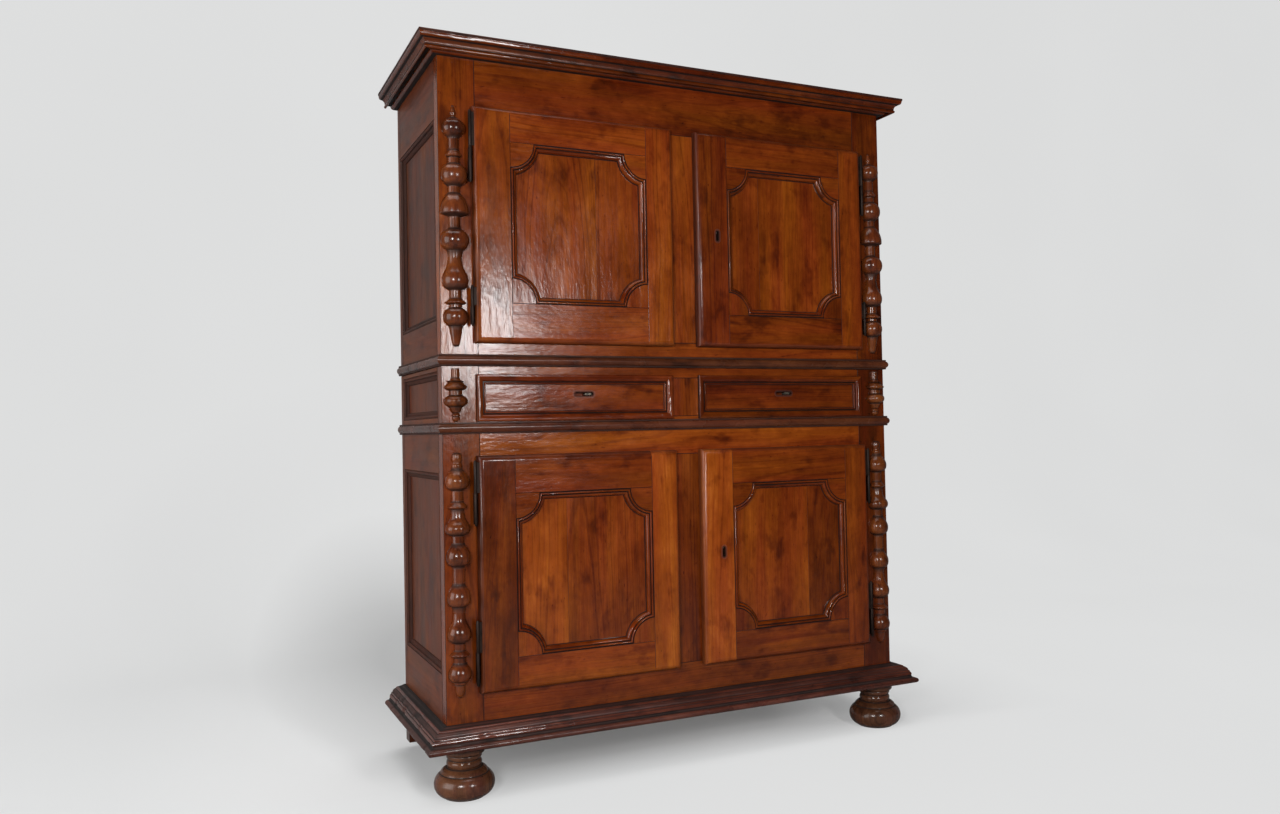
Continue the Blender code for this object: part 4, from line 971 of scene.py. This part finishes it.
def drawer_front(label, keyhole_shift, light, seed):
    """Lipped front with a mitred moulding round a sunk field: inset, depth, and grime and painted shade."""
    node = f"drawer_{label}_front"
    low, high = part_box(node)
    x0, x1, z0, z1 = low.x, high.x, low.z, high.z
    proud = FRONT - low.y
    sunk = DRAWER_SUNK
    # Third values paint shade and grime: black where the lip meets the carcass, in the quirks and against the
    # field
    section = [
        (DRAWER_LIP, DRAWER_BEHIND, 0.3), (DRAWER_LIP, -DOOR_GAP, 0.3), (0, -DOOR_GAP, 1),
        (0, -0.55 * proud, 0.9), *arc(0.0052, -0.8 * proud, 0.0048, -0.2 * proud, 178, 60, 7),
        *arc(0.0058, -0.18 * proud, 0.0135, -0.8 * proud, 82, 6, 10, POLISHED),
        (0.02, -0.08 * proud, 1), (0.0226, -0.08 * proud, 1),
        *arc(0.025, -0.12 * proud, 0.0022, -0.28 * proud, 172, 12, 7, POLISHED),
        (0.0276, 0.6 * sunk, 1), (0.0286, sunk, 1), (DRAWER_MOULDING, sunk, 0.2),
    ]
    bm = start()
    loops = [rectangle(x0 + d, x1 - d, z0 + d, z1 - d, FRONT + y) for d, y, dirt in section]
    bands = loft(bm, loops, False, [row[2] for row in section])
    x, z = (x0 + x1) / 2, (z0 + z1) / 2
    stamp_mitred(bm, bands, (x, FRONT, z), "zxzx", seed, light + DRAWER_RIM_LIGHT)
    field = Board((x, FRONT, z), "x", seed + 9, light)
    stamp(bm, [bm.faces.new(ring_of(bm, loops[0])[::-1])], field)
    spot = (x + keyhole_shift, z + DRAWER_KEYHOLE_RISE)
    plate_with_slot(bm, loops[-1], spot, DRAWER_KEYHOLE, False, DRAWER_KEYHOLE_DEPTH, field)
    finish_piece(node + "_boards", bm, [node], WALNUT, SHARP_DOOR, f"drawer_{label}")


def hinge(level, label, where):
    """Two halves of a barrel, each with a turned tip and the blade that goes into the wood."""
    door_body = f"door_{level}_{label}"
    node = f"hinge_{level}_{label}_{where}_"
    joint = next(row for row in frame["joints"] if row["child"] == door_body)
    x, y = joint["pos_m"][:2]
    for half, body in (("fixed", "carcass"), ("door", door_body)):
        low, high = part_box(node + half)
        z0, z1 = low.z, high.z
        if half == "fixed":
            z1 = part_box(node + "door")[0].z - GAP
            below, above = BARREL_TIP, BARREL_MOUTH
            blade = (x - BLADE_HALF, x + BLADE_HALF, y, BLADE_END)
        else:
            below, above = BARREL_MOUTH[::-1], BARREL_TIP[::-1]
            far = low.x if x > 0 else high.x
            blade = (min(x, far), max(x, far), y - BLADE_HALF, y + BLADE_HALF)
        profile = [(BARREL_RADIUS * r, z0 + rise, 0) for r, rise in below]
        profile += [(BARREL_RADIUS * r, z1 - drop, 0) for r, drop in above]
        bm = start()
        revolve(bm, x, y, profile, Board((x, y, (z0 + z1) / 2), "z", 5), BARREL_STEPS)
        x0, x1, y0, y1 = blade
        plank(bm, (x0, y0, z0 + below[-1][1]), (x1, y1, z1 - above[0][1]), "z", 6, eased=FINE_EDGE)
        finish_piece(node + half + "_barrel", bm, [node + half], IRON, SHARP_TURNED, body)


def dress_solids():
    """Finish for the solids that show as they are."""
    looks = {"plain_board": PLAIN, "iron": STEEL, "dark_walnut": DARK}
    slots = {row["node"]: row["material_slot"] for row in frame["record"]["subparts"]}
    for name, solid in nodes.items():
        if not solid.hide_render:
            solid.data.materials.clear()
            solid.data.materials.append(UPRIGHT if name.endswith("_back") else looks[slots[name]])


# Floor, light and camera
SWEEP_REACH = 9
SWEEP_BEND = 1.6
SWEEP_TOP = 7
GLOW_STOPS = stops((720, 725, 725), (735, 740, 740), at=USUAL)
# Colours of the paper from left to right: painted shade makes it darker on the left
PAPER_LEFT_SHADE_STOPS = stops((570, 575, 575), (820, 825, 825), at=(0, 1))
BOUNCE_STOPS = stops((550, 550, 550), (290, 290, 290), at=(0, 1))
POLISH_STOPS = stops((260, 260, 260), (290, 290, 290), at=(0, 1))
# Colour that the painted shadow on the paper is drawn towards
PAINTED_SHADOW_BLACK = (0, 0, 0, 1)
WORLD_LIGHT = (0.95, 0.97, 1, 1)
WORLD_SEEN = (0.725, 0.73, 0.73, 1)
# Name, place, target, size and watts
LAMPS = (
    ("softbox_right", (0.28, -3.6, 1.575), (-0.1, 0, 1.1), (0.4, 0.61), 48),
    ("softbox_left", (-2.4, -3.1, 1.7), (-0.1, 0, 1.1), (0.4, 0.7), 76),
    ("side_fill", (-4.8, -0.9, 1.5), (-0.7, 0, 0.9), (3, 3), 130),
    ("top_light", (-0.6, 0.6, 5.2), (-0.2, 0.5, 0), (5, 4), 230),
)
# Fitted to the photograph: yaw, pitch and roll, and the lens in millimetres
CAMERA_PLACE = (-1.438, -2.993, 1.0027)
CAMERA_ANGLES = (24.9474, 1.2477, -1.1247)
CAMERA_LENS, CAMERA_SENSOR = 28.494, 36


def sweep_paper():
    """Pale paper, clear to the camera from behind.

    The camera sees the real shadow near the piece, a painted shadow under and behind it, painted shade that
    darkens the paper towards the left, and an even glow further off and in front. The piece sees a dimmer
    floor, more so where it reflects the front.
    """
    s = Shader("pale_sweep")
    place = s.place()
    spot = s.parts(place)
    paths = s.node("LightPath").outputs
    camera_ray = paths["Is Camera Ray"]
    # Painted shade: the paper darkens towards the left
    paper_with_painted_shade = s.ramp(s.spread(spot["X"], -1.6, 0.6, 0, 1), PAPER_LEFT_SHADE_STOPS)
    # Painted shadow: the paper darkens in a soft patch on the floor under and behind the piece
    painted_shadow_patch = s.oval(place, (-0.35, 1.4, 0), (1, 0.4, 1))
    paper_with_painted_shade = s.mix(s.spread(painted_shadow_patch, 0.25, 0.8, 0.46, 0), paper_with_painted_shade, PAINTED_SHADOW_BLACK)
    behind = s.spread(spot["Y"], -0.6, 0.6, 0, 1)
    bounce = s.mix(paths["Is Glossy Ray"], s.ramp(behind, BOUNCE_STOPS), s.ramp(behind, POLISH_STOPS))
    s.set(Base_Color=s.mix(camera_ray, bounce, paper_with_painted_shade), Roughness=0.9)
    pale = s.ramp(s.noise(place, (0.6, 0.6, 0.6), 2), GLOW_STOPS)
    glow = s.node("Emission", {"Color": pale, "Strength": 1}).outputs[0]
    away = s.oval(place, (-0.35, 0.75, 0), (1, 0.6, 1))
    share = s.math("MAXIMUM", s.spread(away, 0.9, 2, 0.18, 0.97),
                   s.spread(spot["Y"], -0.34, -0.08, 0.93, 0.18))
    both = s.mix_shader(s.math("MULTIPLY", camera_ray, share), s.surface.outputs[0], glow)
    rear = s.math("MULTIPLY", camera_ray, s.node("NewGeometry").outputs["Backfacing"])
    both = s.mix_shader(rear, both, s.node("BsdfTransparent").outputs[0])
    s.put(s.tree.nodes["Material Output"].inputs["Surface"], both)
    return s.material


def stage():
    """Seamless sweep: a floor that bends up into a backdrop."""
    bm = bmesh.new()
    bend = arc(SWEEP_BEND, SWEEP_BEND, SWEEP_BEND, SWEEP_BEND, -90, 0, 12)
    line = [(-SWEEP_REACH, 0), *(point[:2] for point in bend), (2 * SWEEP_BEND, SWEEP_TOP)]
    left, right = (ring_of(bm, [(x, y, z) for y, z in line]) for x in (-SWEEP_REACH, SWEEP_REACH))
    for k in range(len(line) - 1):
        bm.faces.new((left[k], right[k], right[k + 1], left[k + 1]))
    mesh = bpy.data.meshes.new("sweep")
    bm.to_mesh(mesh)
    bm.free()
    mesh.shade_smooth()
    mesh.materials.append(sweep_paper())
    made = add("sweep", mesh)


def lamp(name, place, target, size, watts):
    data = bpy.data.lights.new(name, "AREA")
    data.shape = "RECTANGLE"
    data.size, data.size_y = size
    data.energy = watts
    made = add(name, data)
    made.location = place
    made.rotation_euler = (Vector(target) - Vector(place)).to_track_quat("-Z", "Y").to_euler()


def light():
    """The lamps, and a room that is dark in front, pale behind and even grey to the camera."""
    scene.world = scene.world or bpy.data.worlds.new("room")
    scene.world.use_nodes = True
    s = Nodes(scene.world.node_tree)
    heading = s.parts(s.place("Generated"))
    shade = s.tree.nodes["Background"]
    s.put(shade.inputs["Color"], WORLD_LIGHT)
    s.put(shade.inputs["Strength"], s.spread(heading["Y"], -0.1, 0.85, 0.05, 0.5))
    seen = s.node("Background", {"Color": WORLD_SEEN})
    camera_ray = s.node("LightPath").outputs["Is Camera Ray"]
    both = s.mix_shader(camera_ray, shade.outputs[0], seen.outputs[0])
    s.put(s.tree.nodes["World Output"].inputs["Surface"], both)
    for row in LAMPS:
        lamp(*row)


def camera():
    """The photograph's viewpoint."""
    yaw, pitch, roll = (radians(angle) for angle in CAMERA_ANGLES)
    forward = Vector((sin(yaw) * cos(pitch), cos(yaw) * cos(pitch), sin(pitch)))
    right = Vector((cos(yaw), -sin(yaw), 0))
    up = right.cross(forward)
    across = cos(roll) * right + sin(roll) * up
    top = cos(roll) * up - sin(roll) * right
    data = bpy.data.cameras.new("camera")
    data.sensor_width = CAMERA_SENSOR
    data.lens = CAMERA_LENS
    made = add("camera", data)
    made.matrix_world = Matrix((across, top, -forward)).transposed().to_4x4()
    made.location = CAMERA_PLACE
    scene.camera = made
    scene.view_settings.view_transform = "Standard"


# Lightness of each door's left and right stile and top and bottom rail, then the boards of its panel: share
# of the width, lightness, figure, and the pith where it isn't left to chance
DOORS = (
    ("upper", "left", (-0.01, 0.08, 0.04, 0.02), ((0.62, 0.02, 1.3, (0.02, 0.05, 0.1)), (0.38, -0.02, 1))),
    ("upper", "right", (-0.14, 0.01, -0.07, -0.12), ((0.3, -0.05, 0.6), (0.7, -0.01, 0.7))),
    ("lower", "left", (-0.18, 0.18, -0.05, 0.05), ((0.38, 0.11, 1), (0.62, -0.02, 1.1))),
    ("lower", "right", (0.17, -0.05, -0.04, -0.07), ((0.66, 0.04, 0.5), (0.34, -0.15, 0.7))),
)


def build():
    """Make every piece; the seeds keep each board's grain apart from the others."""
    u_moulding("base_moulding_run", base_section(), wear=0.0022, seed=101, lights=(-0.05, 0, -0.05),
               replaced=["base_moulding"], stuff=WORN, worst=1.5)
    u_moulding("waist_run", waist_section("lower_waist_moulding"), wear=0.0006, seed=111,
               lights=(0, 0.06, 0), replaced=["lower_waist_moulding"], stuff=DARK)
    u_moulding("lower_top_run", waist_section("lower_top"), wear=0.0006, seed=131,
               lights=(0, 0.06, 0), replaced=["lower_top"], stuff=DARK, core=run_size("lower_top")[1:])
    # The cornice's returns are darker than its front: painted shade on its sides
    u_moulding("cornice_run", cornice_section(), wear=0.0007, seed=121, lights=(-0.3, -0.22, -0.3),
               replaced=["cornice"], stuff=WALNUT)
    for label, side, seed in (("left", -1, 1), ("right", 1, 2)):
        split_turning(f"baluster_upper_{label}", UPPER_TURNING, seed, light=-0.03)
        split_turning(f"baluster_lower_{label}", LOWER_TURNING, seed + 2, light=0.02, fuller=1.06)
        split_turning(f"baluster_drawer_{label}", SHORT_TURNING, seed + 4, light=-0.06)
        bun_foot(f"foot_front_{label}", seed + 6)
        rear_foot(f"foot_rear_{label}", side, seed + 8)
    # The right stiles are darker: painted shade between the right doors and the balusters, on top of the wood's
    # tone
    face_frame("lower_face_frame", LOWER_LEVELS, seed=11, stiles=(-0.12, -0.26), rails=(-0.06, 0.08, -0.02),
               posts=(-0.11, -0.1))
    face_frame("upper_face_frame", UPPER_LEVELS, seed=18, stiles=(-0.05, -0.2), rails=(-0.02, -0.12),
               posts=(0.03,))
    for label, side, seed in (("left", -1, 201), ("right", 1, 301)):
        side_frame(f"lower_side_{label}", side, LOWER_PANELS, seed, light=-0.025)
        side_frame(f"upper_side_{label}", side, UPPER_PANELS, seed + 60, light=-0.1)
    for k, (level, label, lights, boards) in enumerate(DOORS):
        door(level, label, lights, seed=401 + 10 * k)
    for k, (level, label, lights, boards) in enumerate(DOORS):
        panel(level, label, boards, seed=501 + 10 * k)
    drawer_front("left", keyhole_shift=0.0185, light=-0.07, seed=601)
    drawer_front("right", keyhole_shift=0.0075, light=-0.14, seed=621)
    for level, label, lights, boards in DOORS:
        for where in ("high", "low"):
            hinge(level, label, where)


build()
dress_solids()
stage()
light()
camera()
